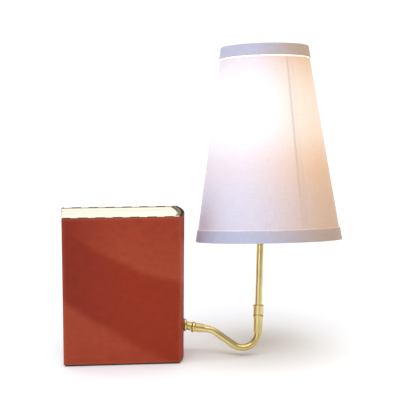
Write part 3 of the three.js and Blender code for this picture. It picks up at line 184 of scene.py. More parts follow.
def softened(outline, looped, radius, steps=3):
    """An outline with each corner cut by a small smooth curve."""
    count = len(outline)
    side_share = 0.4
    made = []
    for i, corner in enumerate(outline):
        here = Vector(corner)
        if not looped and i in (0, count - 1):
            made.append(here)
            continue
        before, after = Vector(outline[i - 1]), Vector(outline[(i + 1) % count])
        reach = min(radius, side_share * (before - here).length, side_share * (after - here).length)
        first = here + (before - here).normalized() * reach
        last = here + (after - here).normalized() * reach
        for k in range(steps + 1):
            t = k / steps
            made.append(first * (1 - t) ** 2 + here * 2 * t * (1 - t) + last * t ** 2)
    return made


def turned(name, outline, looped, place, facets):
    """A body of revolution about a frame's Z."""
    on_axis = 1e-6
    vertices, rows = [], []
    for radius, height in outline:
        if radius < on_axis:
            rows.append([len(vertices)] * facets)
            vertices.append(place @ Vector((0, 0, height)))
        else:
            rows.append([len(vertices) + k for k in range(facets)])
            vertices += [polar(place, radius, TURN * k / facets, height) for k in range(facets)]
    faces = []
    for i in range(len(rows) if looped else len(rows) - 1):
        here, there = rows[i], rows[(i + 1) % len(rows)]
        for k in range(facets):
            nxt = (k + 1) % facets
            face = tuple(dict.fromkeys((here[k], here[nxt], there[nxt], there[k])))
            if len(face) > 2:
                faces.append(face)
    return new_object(name, vertices, faces)


def finer(name, place, body, slot, facets=72, rounding=0.25 * MM):
    """Stands for a turned CAD node with the same outline, more facets and rounded corners."""
    outline, looped = outline_of(name, place)
    piece = turned(f"{name}_fine", softened(outline, looped, rounding), looped, place, facets)
    finish_piece(piece, body, slot, [name])


def cut_out(target, tool):
    """Cuts one mesh out of another and removes the cutter."""
    cut = target.modifiers.new("cut", "BOOLEAN")
    cut.operation = "DIFFERENCE"
    cut.object = tool
    cut.solver = "EXACT"
    bpy.context.view_layer.objects.active = target
    bpy.ops.object.modifier_apply(modifier=cut.name)
    bpy.data.objects.remove(tool)


def drill(target, place, radius, facets, length=50 * MM):
    """Cuts a round hole along a frame's Z."""
    outline = [(0, 0), (radius, 0), (radius, length), (0, length)]
    cut_out(target, turned("drill", outline, False, place, facets))


# ---- Material helpers ----
def linked(tree, socket, value):
    """Links a socket to another one, or sets it to a plain value."""
    if isinstance(value, bpy.types.NodeSocket):
        tree.links.new(value, socket)
    else:
        socket.default_value = value


def node(tree, kind, inputs=None, **settings):
    """A new shader node with its settings, and its inputs set or linked."""
    made = tree.nodes.new(kind)
    for name, value in settings.items():
        setattr(made, name, value)
    for name, value in (inputs or {}).items():
        linked(tree, made.inputs[name], value)
    return made


def maths(tree, operation, first, second=None, clamp=False):
    inputs = {0: first} if second is None else {0: first, 1: second}
    return node(tree, "ShaderNodeMath", inputs, operation=operation, use_clamp=clamp).outputs[0]


def mixed(tree, factor, first, second, blend="MIX"):
    """Two colours blended. The colour sockets go by number, since several share a name."""
    inputs = {0: factor, 6: first, 7: second}
    return node(tree, "ShaderNodeMix", inputs, data_type="RGBA", blend_type=blend).outputs[2]


def tinted(tree, base, shade):
    """A colour multiplied by another colour."""
    return mixed(tree, 1.0, base, shade, "MULTIPLY")


def ramp(tree, factor, stops):
    """A colour ramp. Stops are (place, grey or colour)."""
    made = node(tree, "ShaderNodeValToRGB", {"Fac": factor})
    elements = made.color_ramp.elements
    for element, (spot, value) in zip(elements, stops):
        element.position = spot
        element.color = (value,) * 3 + (1,) if isinstance(value, (int, float)) else value
    return made.outputs["Color"]


def noise(tree, vector, scale, detail=3, roughness=0.5):
    inputs = {"Vector": vector, "Scale": scale, "Detail": detail, "Roughness": roughness}
    return node(tree, "ShaderNodeTexNoise", inputs).outputs["Fac"]


def mapped(tree, vector, scale):
    """Coordinates stretched along each axis."""
    return node(tree, "ShaderNodeMapping", {"Vector": vector, "Scale": scale}).outputs[0]


def ranged(tree, value, source=(0, 1), target=(0, 1), kind="LINEAR"):
    """A value carried from one range to another and held at its ends."""
    inputs = {"Value": value, "From Min": source[0], "From Max": source[1]}
    inputs.update({"To Min": target[0], "To Max": target[1]})
    return node(tree, "ShaderNodeMapRange", inputs, interpolation_type=kind).outputs["Result"]


def eased(tree, value, start, end):
    """0 before start, 1 past end, smooth between."""
    return ranged(tree, value, (start, end), kind="SMOOTHSTEP")


def separated(tree, vector):
    """The X, Y and Z of a vector."""
    return node(tree, "ShaderNodeSeparateXYZ", {0: vector}).outputs


def stored(tree, name):
    """A value stored on the mesh's points."""
    return node(tree, "ShaderNodeAttribute", attribute_name=name).outputs["Fac"]


def beyond_curve(tree, across, height, rise, slope, bow):
    """How far a point lies above the curve: rise + slope * across + bow * across squared."""
    line = maths(tree, "ADD", maths(tree, "MULTIPLY", across, slope), rise)
    bowed = maths(tree, "MULTIPLY", maths(tree, "MULTIPLY", across, across), bow)
    return maths(tree, "SUBTRACT", height, maths(tree, "ADD", line, bowed))


def bumped(tree, height, strength, distance):
    inputs = {"Height": height, "Strength": strength, "Distance": distance}
    return node(tree, "ShaderNodeBump", inputs).outputs["Normal"]


def colour(red, green, blue):
    """A screen colour (0 to 255) as the linear colour that a shader takes."""
    def linear(value):
        share = value / 255
        return share / 12.92 if share <= 0.04045 else ((share + 0.055) / 1.055) ** 2.4

    return linear(red), linear(green), linear(blue), 1


def fresh(name):
    """A new material and its tree, shader and object coordinates."""
    made = bpy.data.materials.new(name)
    made.use_nodes = True
    tree = made.node_tree
    shader = tree.nodes["Principled BSDF"]
    where = node(tree, "ShaderNodeTexCoord").outputs["Object"]
    return made, tree, shader, where


def settle(tree, shader, **inputs):
    """Sets or links the shader's sockets, with spaces in their names written as _."""
    for name, value in inputs.items():
        linked(tree, shader.inputs[name.replace("_", " ")], value)


# ---- Materials ----
LEATHER_DEEP = colour(136, 43, 27)
LEATHER_DARK = colour(150, 48, 24)
# The paler tone of the painted sheen on the leather.
LEATHER_SHEEN = colour(166, 68, 43)
LEATHER_WORN = colour(186, 98, 70)
LEATHER_EDGE = colour(46, 33, 25)
PAPER_LIGHT = colour(238, 234, 214)
PAPER_DARK = colour(214, 206, 182)
BRASS_LIGHT = colour(242, 226, 168)
BRASS_DARK = colour(212, 192, 126)
LINEN_LIGHT = colour(227, 223, 234)
LINEN_DARK = colour(212, 207, 217)
TRIM_LIGHT = colour(198, 199, 216)
TRIM_DARK = colour(182, 183, 200)
# Painted side light on the shade's cloth: warm on its outer side, cool on the book's side.
PAINTED_WARM_SIDE = (0.84, 0.58, 0.36, 1)
PAINTED_COOL_SIDE = (0.95, 0.95, 1, 1)

LEATHER_SPECULAR = 0.14
# Where the painted sheen lies on the leather: its edges as curves, with their waver and fades.
PALE_WAVER = 12 * MM
UPPER_CURVE = (0.133, -0.5, 2.0)
UPPER_EDGE = (-4 * MM, 8 * MM)
UPPER_FADE = (0, 60 * MM)
UPPER_FADE_SHARES = (1.0, 0.55)
LOWER_CURVE = (0.040, -0.6, 1.0)
LOWER_EDGE = (-12 * MM, 6 * MM)
LOWER_SHARE = 0.85
FORE_FADE = (-78 * MM, 10 * MM)


def painted_sheen_share(tree, where, from_fore):
    """Where painted sheen makes the leather paler: a broad area above one curve and a smaller one below another.
    """
    sway = maths(tree, "SUBTRACT", noise(tree, where, scale=22), 0.5)
    parts = separated(tree, where)
    across = parts["X"]
    height = maths(tree, "ADD", parts["Z"], maths(tree, "MULTIPLY", sway, PALE_WAVER))
    above = beyond_curve(tree, across, height, *UPPER_CURVE)
    below = beyond_curve(tree, across, height, *LOWER_CURVE)
    fade = ranged(tree, above, UPPER_FADE, UPPER_FADE_SHARES)
    upper = maths(tree, "MULTIPLY", maths(tree, "MULTIPLY", eased(tree, above, *UPPER_EDGE), fade), from_fore)
    lower = maths(tree, "SUBTRACT", 1.0, eased(tree, below, *LOWER_EDGE))
    return maths(tree, "ADD", upper, maths(tree, "MULTIPLY", lower, LOWER_SHARE), clamp=True)


def red_leather():
    """Smooth bookbinder's leather: fine grain, two broad paler areas of painted sheen, a darker fore-edge."""
    made, tree, shader, where = fresh("red_leather")
    from_fore = eased(tree, separated(tree, where)["X"], *FORE_FADE)
    ground = mixed(tree, from_fore, LEATHER_DEEP, LEATHER_DARK)
    # Painted sheen: broad paler areas that stand for light falling on the leather.
    body = mixed(tree, painted_sheen_share(tree, where, from_fore), ground, LEATHER_SHEEN)
    mottle = ramp(tree, noise(tree, where, scale=110, detail=5, roughness=0.6), [(0.3, 0.92), (0.7, 1.06)])
    streaks = ramp(tree, noise(tree, mapped(tree, where, (60, 60, 900)), scale=1), [(0.3, 0.95), (0.7, 1.04)])
    toned = tinted(tree, tinted(tree, body, mottle), streaks)
    patches = noise(tree, where, scale=160, detail=4, roughness=0.7)
    worn = mixed(tree, maths(tree, "MULTIPLY", stored(tree, "wear"), patches), toned, LEATHER_WORN)
    final = mixed(tree, stored(tree, "rim"), worn, LEATHER_EDGE)
    pores = node(tree, "ShaderNodeTexVoronoi", {"Vector": where, "Scale": 950}, feature="SMOOTH_F1")
    creases = maths(tree, "MULTIPLY", noise(tree, where, scale=420, detail=4), 0.8)
    grain = maths(tree, "ADD", pores.outputs["Distance"], creases)
    rough = ranged(tree, noise(tree, where, scale=60, detail=4), target=(0.42, 0.6))
    settle(
        tree, shader, Base_Color=final, Roughness=rough, Specular_IOR_Level=LEATHER_SPECULAR,
        Normal=bumped(tree, grain, strength=0.35, distance=0.25 * MM),
    )
    return made


def page_paper():
    """The cut edges of many leaves: fine lines along the book, with a few darker gatherings."""
    made, tree, shader, where = fresh("page_paper")
    streaks = noise(tree, mapped(tree, where, (6, 1400, 6)), scale=1, detail=3, roughness=0.7)
    wide = noise(tree, mapped(tree, where, (3, 260, 3)), scale=1, detail=2)
    blend = maths(tree, "MULTIPLY", maths(tree, "ADD", streaks, wide), 0.5)
    tint = ramp(tree, blend, [(0.32, PAPER_DARK), (0.52, PAPER_LIGHT)])
    normal = bumped(tree, streaks, strength=0.5, distance=0.2 * MM)
    settle(tree, shader, Base_Color=tint, Roughness=0.8, Normal=normal)
    return made


def banded_cloth():
    """The head band's wound thread, dark and cream by turns."""
    made, tree, shader, where = fresh("banded_cloth")
    turns = separated(tree, node(tree, "ShaderNodeUVMap", uv_map="wind").outputs["UV"])["X"]
    wave = maths(tree, "SINE", maths(tree, "MULTIPLY", turns, TURN))
    tint = mixed(tree, ranged(tree, wave, (-0.3, 0.3)), colour(40, 28, 22), colour(176, 156, 124))
    fuzz = noise(tree, where, scale=2200)
    normal = bumped(tree, fuzz, strength=0.4, distance=0.1 * MM)
    settle(tree, shader, Base_Color=tint, Roughness=0.8, Normal=normal)
    return made


def aged_brass():
    """Lacquered brass gone soft and a little brown in places, with fine drawn lines."""
    made, tree, shader, where = fresh("aged_brass")
    cloud = noise(tree, where, scale=30)
    tint = ramp(tree, cloud, [(0.3, BRASS_DARK), (0.7, BRASS_LIGHT)])
    lines = noise(tree, mapped(tree, where, (900, 900, 120)), scale=1, detail=2)
    rough = ranged(tree, cloud, (0.3, 0.7), (0.36, 0.28))
    normal = bumped(tree, lines, strength=0.015, distance=0.1 * MM)
    settle(tree, shader, Base_Color=tint, Metallic=1.0, Roughness=rough, Normal=normal)
    return made


def metal(name, tone, smoothest, roughest):
    """Plain bright or dull metal with small scratches."""
    made, tree, shader, where = fresh(name)
    cloud = noise(tree, where, scale=120, detail=4, roughness=0.6)
    darker = (*(0.75 * part for part in tone[:3]), 1)
    tint = ramp(tree, cloud, [(0.3, darker), (0.7, tone)])
    rough = ranged(tree, cloud, target=(smoothest, roughest))
    scratch = noise(tree, mapped(tree, where, (1500, 1500, 80)), scale=1, detail=2)
    normal = bumped(tree, scratch, strength=0.1, distance=0.1 * MM)
    settle(tree, shader, Base_Color=tint, Metallic=1.0, Roughness=rough, Normal=normal)
    return made


def dull(name, dark, light, scale, roughness, distance, strength=0.4, detail=5, grit=0.65, full=0.7):
    """A plain non-metal surface with a speckle, whose light tone begins at full."""
    made, tree, shader, where = fresh(name)
    speckle = noise(tree, where, scale, detail, grit)
    tint = ramp(tree, speckle, [(0.3, dark), (full, light)])
    normal = bumped(tree, speckle, strength, distance)
    settle(tree, shader, Base_Color=tint, Roughness=roughness, Normal=normal)
    return made


def block_wood():
    """Plain light wood with its grain upright."""
    made, tree, shader, where = fresh("block_wood")
    grain = noise(tree, mapped(tree, where, (240, 240, 14)), scale=1, detail=4, roughness=0.6)
    tint = ramp(tree, grain, [(0.3, colour(150, 112, 70)), (0.7, colour(200, 162, 112))])
    normal = bumped(tree, grain, strength=0.4, distance=0.2 * MM)
    settle(tree, shader, Base_Color=tint, Roughness=0.7, Normal=normal)
    return made


THREAD = 0.62 * MM
WEAVE_HEIGHT = 0.6
SLUB_FINE, SLUB_LONG = 1500, 60
SLUB_LIGHT = 0.14
# The span across the shade over which the painted side light turns from cool to warm.
PAINTED_SIDE_SPAN = (-0.6, 0.9)
SHEEN = 0.2

GLOBE_SHARE = 0.4
GLOW_REACH = 92 * MM
GLOW_CORE = colour(255, 250, 236)
GLOW_FRINGE = colour(255, 196, 118)
GLOW_STRENGTH = 0.42
TRIM_GLOW = 0.1
LINER_GLOW = 0.5
BULB_GLOW, BULB_REST = 0.28, 0.12

LEAK_CORE = 0.8 * MM
LEAK_WIDTH = 2.2 * MM
LEAK_STRENGTH = 0.8
LOWER_LEAK = 0.25

SEAM_TURN = math.radians(-70.6)
SEAM_WIDTH = 9 * MM
SEAM_STEP = 0.55 * MM
SEAM_CORE = 0.4 * MM
SEAM_LINE = 2.2 * MM
SEAM_SHADOW = 0.22
LAP_SHADOW = 0.04


def weave(tree, cloth):
    """The height of a plain weave over cloth coordinates in metres, and the slubs in both threads."""
    parts = separated(tree, cloth)
    ridges = []
    for across in ("X", "Y"):
        phase = maths(tree, "MULTIPLY", parts[across], TURN / THREAD)
        ridges.append(maths(tree, "ABSOLUTE", maths(tree, "SINE", phase)))
    fine = maths(tree, "MULTIPLY", *ridges)
    slubs = maths(
        tree, "ADD",
        noise(tree, mapped(tree, cloth, (SLUB_LONG, SLUB_FINE, 1)), scale=1, detail=2, roughness=0.6),
        noise(tree, mapped(tree, cloth, (SLUB_FINE, SLUB_LONG, 1)), scale=1, detail=2, roughness=0.6),
    )
    return maths(tree, "ADD", maths(tree, "MULTIPLY", fine, WEAVE_HEIGHT), slubs), slubs


def distance_along(tree, where, origin, direction):
    """How far a point lies from an origin along a direction."""
    off = node(tree, "ShaderNodeVectorMath", {0: where, 1: tuple(origin)}, operation="SUBTRACT").outputs[0]
    made = node(tree, "ShaderNodeVectorMath", {0: off, 1: tuple(direction)}, operation="DOT_PRODUCT")
    return made.outputs["Value"]


def glow_share(tree, where):
    """How strongly the lit bulb shows through, from the distance to the bulb's centre along the shade."""
    low, high, _ = extent("bulb_glass", SHADE)
    middle = SHADE @ Vector((0, 0, high - (high - low) * GLOBE_SHARE))
    share = maths(tree, "DIVIDE", distance_along(tree, where, middle, SHADE_UP), GLOW_REACH)
    square = maths(tree, "MULTIPLY", share, share)
    return maths(tree, "EXPONENT", maths(tree, "MULTIPLY", square, -1.0))


def glow_colour(tree, share):
    """Nearly white where the glow is strong and warm where it fades."""
    return mixed(tree, eased(tree, share, 0.4, 1.0), GLOW_FRINGE, GLOW_CORE)


def painted_side_light(tree, where, tone):
    """The cloth's tone with painted side light: cool on the side of the book and warm on the lamp's outer side."""
    low, low_radius, high, high_radius = wall_sizes("shade_fabric")
    across = distance_along(tree, where, SHADE.translation, SHADE.to_3x3() @ SIDEWAYS)
    rise = distance_along(tree, where, SHADE.translation, SHADE_UP)
    radius = ranged(tree, rise, (low, high), (low_radius, high_radius))
    share = eased(tree, maths(tree, "DIVIDE", across, radius), *PAINTED_SIDE_SPAN)
    return tinted(tree, tone, mixed(tree, share, PAINTED_COOL_SIDE, PAINTED_WARM_SIDE))


def leak_share(tree, where):
    """Where light escapes in a thin line along the edges of the two trims."""
    rise = distance_along(tree, where, SHADE.translation, SHADE_UP)
    edges = ((extent("top_trim", SHADE)[0], 1.0), (extent("bottom_trim", SHADE)[1], LOWER_LEAK))
    leaks = []
    for edge, strength in edges:
        off = maths(tree, "ABSOLUTE", maths(tree, "SUBTRACT", rise, edge))
        near = maths(tree, "SUBTRACT", 1.0, eased(tree, off, LEAK_CORE, LEAK_WIDTH))
        leaks.append(maths(tree, "MULTIPLY", near, strength))
    return maths(tree, "ADD", *leaks)


def seam_shadow_share(tree, cloth):
    """A thin line of painted shadow where the cloth's end is turned under, at one place round the shade."""
    _, low_radius, _, high_radius = wall_sizes("shade_fabric")
    seam = SEAM_TURN % TURN * (low_radius + high_radius) / 2
    off = maths(tree, "ABSOLUTE", maths(tree, "SUBTRACT", separated(tree, cloth)["X"], seam))
    return maths(tree, "SUBTRACT", 1.0, eased(tree, off, SEAM_CORE, SEAM_LINE))


def linen_cloth():
    """Fine linen on a stiff liner, lit from inside, with painted side light and painted shade at its seam and lap.
    """
    made, tree, shader, where = fresh("linen_cloth")
    cloth = node(tree, "ShaderNodeUVMap", uv_map="cloth").outputs["UV"]
    height, slubs = weave(tree, cloth)
    tone = ramp(tree, maths(tree, "MULTIPLY", slubs, 0.5), [(0.3, LINEN_DARK), (0.65, LINEN_LIGHT)])
    share = glow_share(tree, where)
    # Painted shade on the lapped cloth and along its seam, in both the base colour and the glow.
    lap = maths(tree, "MULTIPLY", stored(tree, "layers"), LAP_SHADOW)
    seam = maths(tree, "MULTIPLY", seam_shadow_share(tree, cloth), maths(tree, "MULTIPLY", share, SEAM_SHADOW))
    clear = maths(tree, "SUBTRACT", maths(tree, "SUBTRACT", 1.0, lap), seam)
    texture = maths(tree, "ADD", 1 - SLUB_LIGHT, maths(tree, "MULTIPLY", slubs, SLUB_LIGHT))
    glow = maths(tree, "MULTIPLY", maths(tree, "MULTIPLY", share, clear), texture)
    leak = maths(tree, "MULTIPLY", leak_share(tree, where), LEAK_STRENGTH)
    settle(
        tree, shader, Base_Color=tinted(tree, painted_side_light(tree, where, tone), clear), Roughness=0.9,
        Sheen_Weight=SHEEN, Normal=bumped(tree, height, strength=0.3, distance=0.12 * MM),
        Emission_Color=mixed(tree, leak, glow_colour(tree, share), GLOW_CORE),
        Emission_Strength=maths(tree, "ADD", maths(tree, "MULTIPLY", glow, GLOW_STRENGTH), leak),
    )
    return made


def trim_cloth():
    """The same linen as a folded band, thicker and less lit."""
    made, tree, shader, where = fresh("trim_cloth")
    cloth = node(tree, "ShaderNodeUVMap", uv_map="cloth").outputs["UV"]
    height, slubs = weave(tree, cloth)
    tone = ramp(tree, maths(tree, "MULTIPLY", slubs, 0.5), [(0.35, TRIM_DARK), (0.6, TRIM_LIGHT)])
    share = glow_share(tree, where)
    settle(
        # The trim carries the same painted side light as the cloth.
        tree, shader, Base_Color=painted_side_light(tree, where, tone), Roughness=0.9,
        Sheen_Weight=SHEEN, Normal=bumped(tree, height, strength=0.35, distance=0.14 * MM),
        Emission_Color=glow_colour(tree, share),
        Emission_Strength=maths(tree, "MULTIPLY", share, TRIM_GLOW),
    )
    return made


def liner_sheet():
    """The shade's white lining, bright around the bulb."""
    made, tree, shader, where = fresh("liner_sheet")
    faint = noise(tree, where, scale=240, detail=4, roughness=0.6)
    settle(
        tree, shader, Roughness=0.5, Normal=bumped(tree, faint, strength=0.1, distance=0.1 * MM),
        Base_Color=ramp(tree, faint, [(0.3, colour(240, 232, 216)), (0.7, colour(252, 246, 234))]),
        Emission_Color=colour(255, 236, 200),
        Emission_Strength=maths(tree, "MULTIPLY", glow_share(tree, where), LINER_GLOW),
    )
    return made


def lit_glass():
    """Soft-white bulb glass that glows, a little dimmer at its neck."""
    made, tree, shader, where = fresh("lit_glass")
    haze = noise(tree, where, scale=60)
    glow = maths(tree, "MULTIPLY", glow_share(tree, where), BULB_GLOW)
    settle(
        tree, shader, Roughness=0.25,
        Base_Color=ramp(tree, haze, [(0.3, colour(198, 180, 146)), (0.7, colour(216, 200, 168))]),
        Emission_Color=colour(255, 222, 158),
        Emission_Strength=maths(tree, "ADD", BULB_REST, glow),
    )
    return made


# ---- Camera, floor and lights ----
VIEW_LENS = 117
VIEW_SENSOR = 36
VIEW_YAW = math.radians(5.82)
VIEW_PITCH = math.radians(13.58)
VIEW_ROLL = math.radians(0.51)
VIEW_DISTANCE = 1.686
VIEW_AIM = Vector((0.1048, 0.0377, 0.1991))
FLOOR_HALF = 12
LIGHT_AIM = Vector((0.1, 0.05, 0.2))
WORLD_STRENGTH = 0.3


def make_camera():
    """The camera, turned by yaw, pitch and a slight roll about its aim."""
    data = bpy.data.cameras.new("camera")
    data.lens = VIEW_LENS
    data.sensor_width = VIEW_SENSOR
    data.clip_start, data.clip_end = 0.1, 60
    camera = bpy.data.objects.new("camera", data)
    bpy.context.scene.collection.objects.link(camera)
    level = math.cos(VIEW_PITCH)
    forward = Vector((math.sin(VIEW_YAW) * level, math.cos(VIEW_YAW) * level, -math.sin(VIEW_PITCH)))
    right = Vector((math.cos(VIEW_YAW), -math.sin(VIEW_YAW), 0))
    rolled = right * math.cos(VIEW_ROLL) + right.cross(forward) * math.sin(VIEW_ROLL)
    turn = Matrix((rolled, rolled.cross(forward), -forward)).transposed().to_4x4()
    camera.matrix_world = Matrix.Translation(VIEW_AIM - forward * VIEW_DISTANCE) @ turn
    bpy.context.scene.camera = camera


def make_floor():
    """A wide pale floor with a very faint mottle."""
    made, tree, shader, where = fresh("pale_floor")
    faint = noise(tree, where, scale=3, detail=2)
    tone = ramp(tree, faint, [(0.3, colour(246, 246, 248)), (0.7, colour(250, 250, 251))])
    settle(tree, shader, Base_Color=tone, Roughness=0.8)
    half = FLOOR_HALF
    corners = [(-half, -half, 0), (half, -half, 0), (half, half, 0), (-half, half, 0)]
    floor = new_object("floor", corners, [(0, 1, 2, 3)])
    floor.data.materials.append(made)


def add_light(name, kind, direction, power, tint):
    """A light of a kind that shines in a direction."""
    data = bpy.data.lights.new(name, kind)
    data.energy = power
    data.color = tint
    light = bpy.data.objects.new(name, data)
    bpy.context.scene.collection.objects.link(light)
    light.rotation_mode = "QUATERNION"
    light.rotation_quaternion = direction.to_track_quat("-Z", "Y")
    return light


def area_light(name, spot, size, power, tint, mirrored=True):
    """A square soft light on the lamp. One that isn't mirrored leaves no streak in the brass."""
    light = add_light(name, "AREA", LIGHT_AIM - Vector(spot), power, tint)
    light.location = spot
    light.data.shape = "SQUARE"
    light.data.size = size
    light.visible_glossy = mirrored


def soft_sun(name, direction, spread, strength, tint):
    """A wide, even light from one side of the sky, the same all over the floor."""
    light = add_light(name, "SUN", Vector(direction), strength, tint)
    light.data.angle = math.radians(spread)


def make_lights():
    """Soft light from above, cool from the left and warm from the right."""
    soft_sun("overhead", (0, 0.1, -1), spread=70, strength=2.85, tint=(0.95, 0.97, 1))
    area_light("front_left", (-1.3, -2.6, 0.75), size=1.0, power=11, tint=(0.9, 0.95, 1))
    area_light("right", (2.6, -0.6, 0.8), size=1.2, power=6, tint=(1, 0.78, 0.44), mirrored=False)
    area_light("left_window", (-2.4, 0.2, 0.7), size=1.2, power=8, tint=(0.5, 0.66, 1))
    world = bpy.data.worlds.new("studio")
    bpy.context.scene.world = world
    world.use_nodes = True
    background = world.node_tree.nodes["Background"]
    background.inputs["Color"].default_value = (1, 1, 1, 1)
    background.inputs["Strength"].default_value = WORLD_STRENGTH


make_camera()
make_floor()
make_lights()
bpy.context.scene.view_settings.view_transform = "Standard"

MATERIALS = {
    "red_leather": red_leather(),
    "page_paper": page_paper(),
    "band_cloth": banded_cloth(),
    "dark_felt": dull("dark_felt", colour(40, 38, 36), colour(78, 74, 70), 1800, 0.95, 0.4 * MM, 0.8),
    "plain_steel": metal("plain_steel", colour(170, 172, 176), 0.35, 0.55),
    "block_wood": block_wood(),
    "aged_brass": aged_brass(),
    "black_rubber": dull("black_rubber", colour(20, 20, 20), colour(44, 44, 44), 900, 0.7, 0.1 * MM),
    "phenolic": dull("phenolic", colour(26, 20, 18), colour(52, 42, 38), 300, 0.38, 0.05 * MM, 0.2),
    "gold_lead": dull("gold_lead", colour(150, 118, 60), colour(196, 164, 96), 700, 0.45, 0.1 * MM),
    "fibre_sleeve": dull("fibre_sleeve", colour(58, 44, 34), colour(96, 78, 60), 800, 0.9, 0.2 * MM),
    "aluminium_cap": metal("aluminium_cap", colour(214, 216, 218), 0.3, 0.45),
    "bulb_glass": lit_glass(),
    "filament_wire": metal("filament_wire", colour(255, 200, 130), 0.3, 0.5),
    "liner_sheet": liner_sheet(),
    "linen_cloth": linen_cloth(),
    "trim_cloth": trim_cloth(),
    "wire_steel": metal("wire_steel", colour(206, 208, 210), 0.22, 0.4),
}
DARK_LINE = dull(
    "dark_tooling", colour(44, 30, 20), colour(88, 64, 44), 700, 0.6, 0.1 * MM,
    strength=0.4, detail=4, grit=0.7, full=0.75,
)
GILT = dull(
    "gilt_tooling", colour(232, 214, 176), colour(255, 248, 226), 900, 0.45, 0.1 * MM,
    strength=0.3, detail=4, grit=0.7, full=0.6,
)
CAD_SMOOTH_ANGLE = 32


def dress_cad_nodes():
    """Gives every CAD node the material of its slot and smooth round faces."""
    for row in frame["record"]["subparts"]:
        target = frame["nodes"][row["node"]]
        target.data.materials.clear()
        target.data.materials.append(MATERIALS[row["material_slot"]])
        shade_by_angle(target, CAD_SMOOTH_ANGLE)


dress_cad_nodes()


# ---- Book ----
BOOK_LOW, BOOK_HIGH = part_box("front_board")
BACK_LOW, BACK_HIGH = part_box("back_board")
SPINE_LOW, SPINE_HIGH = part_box("spine")
PAGE_LOW, PAGE_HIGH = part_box("page_block")
BOARD = BOOK_HIGH.y - BOOK_LOW.y
HALF_BOOK = BACK_HIGH.y

COVER_ROUND = 1.1 * MM
ROUND_STEPS = 5
COVER_ROWS = 60
SPINE_STEPS = 40
BOARD_STEPS = 44
TIP_STEPS = 10
RUBBED_WIDTH = 4 * MM
JOINT_MARGIN = 1.5 * MM
RIM_SHARE = 0.35
HOLE_CLEARANCE = 0.3 * MM
RUN_IN = 10 * MM

LEAVES = 150
LEAF_SEED = 7
LEAF_STEPS = 12
LEAF_LIFTS = (-0.1 * MM, -0.28 * MM)
LEAF_PUSH = 0.3 * MM
LEAF_WAVER = 0.04 * MM
LEAF_SQUARE = 0.7 * MM
SPINE_GAP = 0.4 * MM
BAND_WELL = 5.5 * MM
ROOM_WALL = 6 * MM

TOOLING_WIDTH = 1.7 * MM
TOOLING_PROUD = 0.25 * MM
LINE_STEPS = 60
LINE_ENDS = (1.5 * MM, 1 * MM)
DASH_PITCH = 21.5 * MM
DASH_LENGTH = 9.5 * MM
DASH_SHORTEST = 3 * MM
DASH_START = 2 * MM
DASH_STEPS = 8
DASH_WIDER, DASH_PROUDER = 1.25, 2
FRONT_SHIFT = 0.35

BAND_STEPS = 300
BAND_SIDES = 14
BAND_TURNS = 26
BAND_RIB = 0.1
BAND_TUCK = 0.2


def arc_points(centre, radius, start, end, steps):
    """Points along an arc, both ends included."""
    angles = [start + (end - start) * k / steps for k in range(steps + 1)]
    return [
        Vector((centre[0] + radius * math.cos(angle), centre[1] + radius * math.sin(angle)))
        for angle in angles
    ]


def line_points(start, end, steps):
    """Points along a line, both ends left out."""
    return [Vector(start).lerp(Vector(end), k / steps) for k in range(1, steps)]


def spine_circle():
    """The centre (on the X axis) and radius of the spine's outer curve, from the book's own sizes."""
    bulge = SPINE_HIGH.x - BOOK_HIGH.x
    radius = (HALF_BOOK ** 2 + bulge ** 2) / (2 * bulge)
    return SPINE_HIGH.x - radius, radius


def cover_outline():
    """The cover seen from above: front board, rounded spine and back board as one folded skin."""
    centre, radius = spine_circle()
    joint, end = BOOK_HIGH.x, BOARD / 2
    tip = BOOK_LOW.x + end
    inside = HALF_BOOK - BOARD
    reach = math.asin(HALF_BOOK / radius)
    inner_reach = math.asin(inside / (radius - BOARD))
    outer = arc_points((centre, 0), radius, -reach, reach, SPINE_STEPS)
    hollow = arc_points((centre, 0), radius - BOARD, inner_reach, -inner_reach, SPINE_STEPS)
    points = outer + line_points((joint, HALF_BOOK), (tip, HALF_BOOK), BOARD_STEPS)
    points += arc_points((tip, inside + end), end, math.pi / 2, 3 * math.pi / 2, TIP_STEPS)
    points += line_points((tip, inside), (hollow[0].x, inside), BOARD_STEPS)
    points += hollow
    points += line_points((hollow[-1].x, -inside), (tip, -inside), BOARD_STEPS)
    points += arc_points((tip, -inside - end), end, math.pi / 2, 3 * math.pi / 2, TIP_STEPS)
    points += line_points((tip, -HALF_BOOK), (outer[0].x, -HALF_BOOK), BOARD_STEPS)
    return points


def inset_outline(points, depth):
    """The outline moved inwards by a depth, by each point's own normal."""
    made = []
    for i, point in enumerate(points):
        along = (points[(i + 1) % len(points)] - points[i - 1]).normalized()
        made.append(point + Vector((-along.y, along.x)) * depth)
    return made


def make_cover():
    """Both boards and the spine under one leather, rounded at head and tail."""
    outline = cover_outline()
    low, high = BOOK_LOW.z, BOOK_HIGH.z
    bends = []
    for k in range(ROUND_STEPS + 1):
        angle = k / ROUND_STEPS * math.pi / 2
        bends.append((COVER_ROUND * (1 - math.sin(angle)), COVER_ROUND * (1 - math.cos(angle))))
    rows = [(depth, low + rise) for depth, rise in bends]
    for k in range(1, COVER_ROWS):
        rows.append((0, low + COVER_ROUND + (high - low - 2 * COVER_ROUND) * k / COVER_ROWS))
    rows += [(depth, high - drop) for drop, depth in bends]
    rings = []
    for depth, height in rows:
        rings.append([Vector((point.x, point.y, height)) for point in inset_outline(outline, depth)])
    cover = new_object("leather_cover", *loft(rings, caps=True), smooth_angle=40)
    paint_cover(cover, low, high)
    drill_cover(cover)
    finish_piece(cover, "base", "red_leather", ["front_board", "back_board", "spine"])


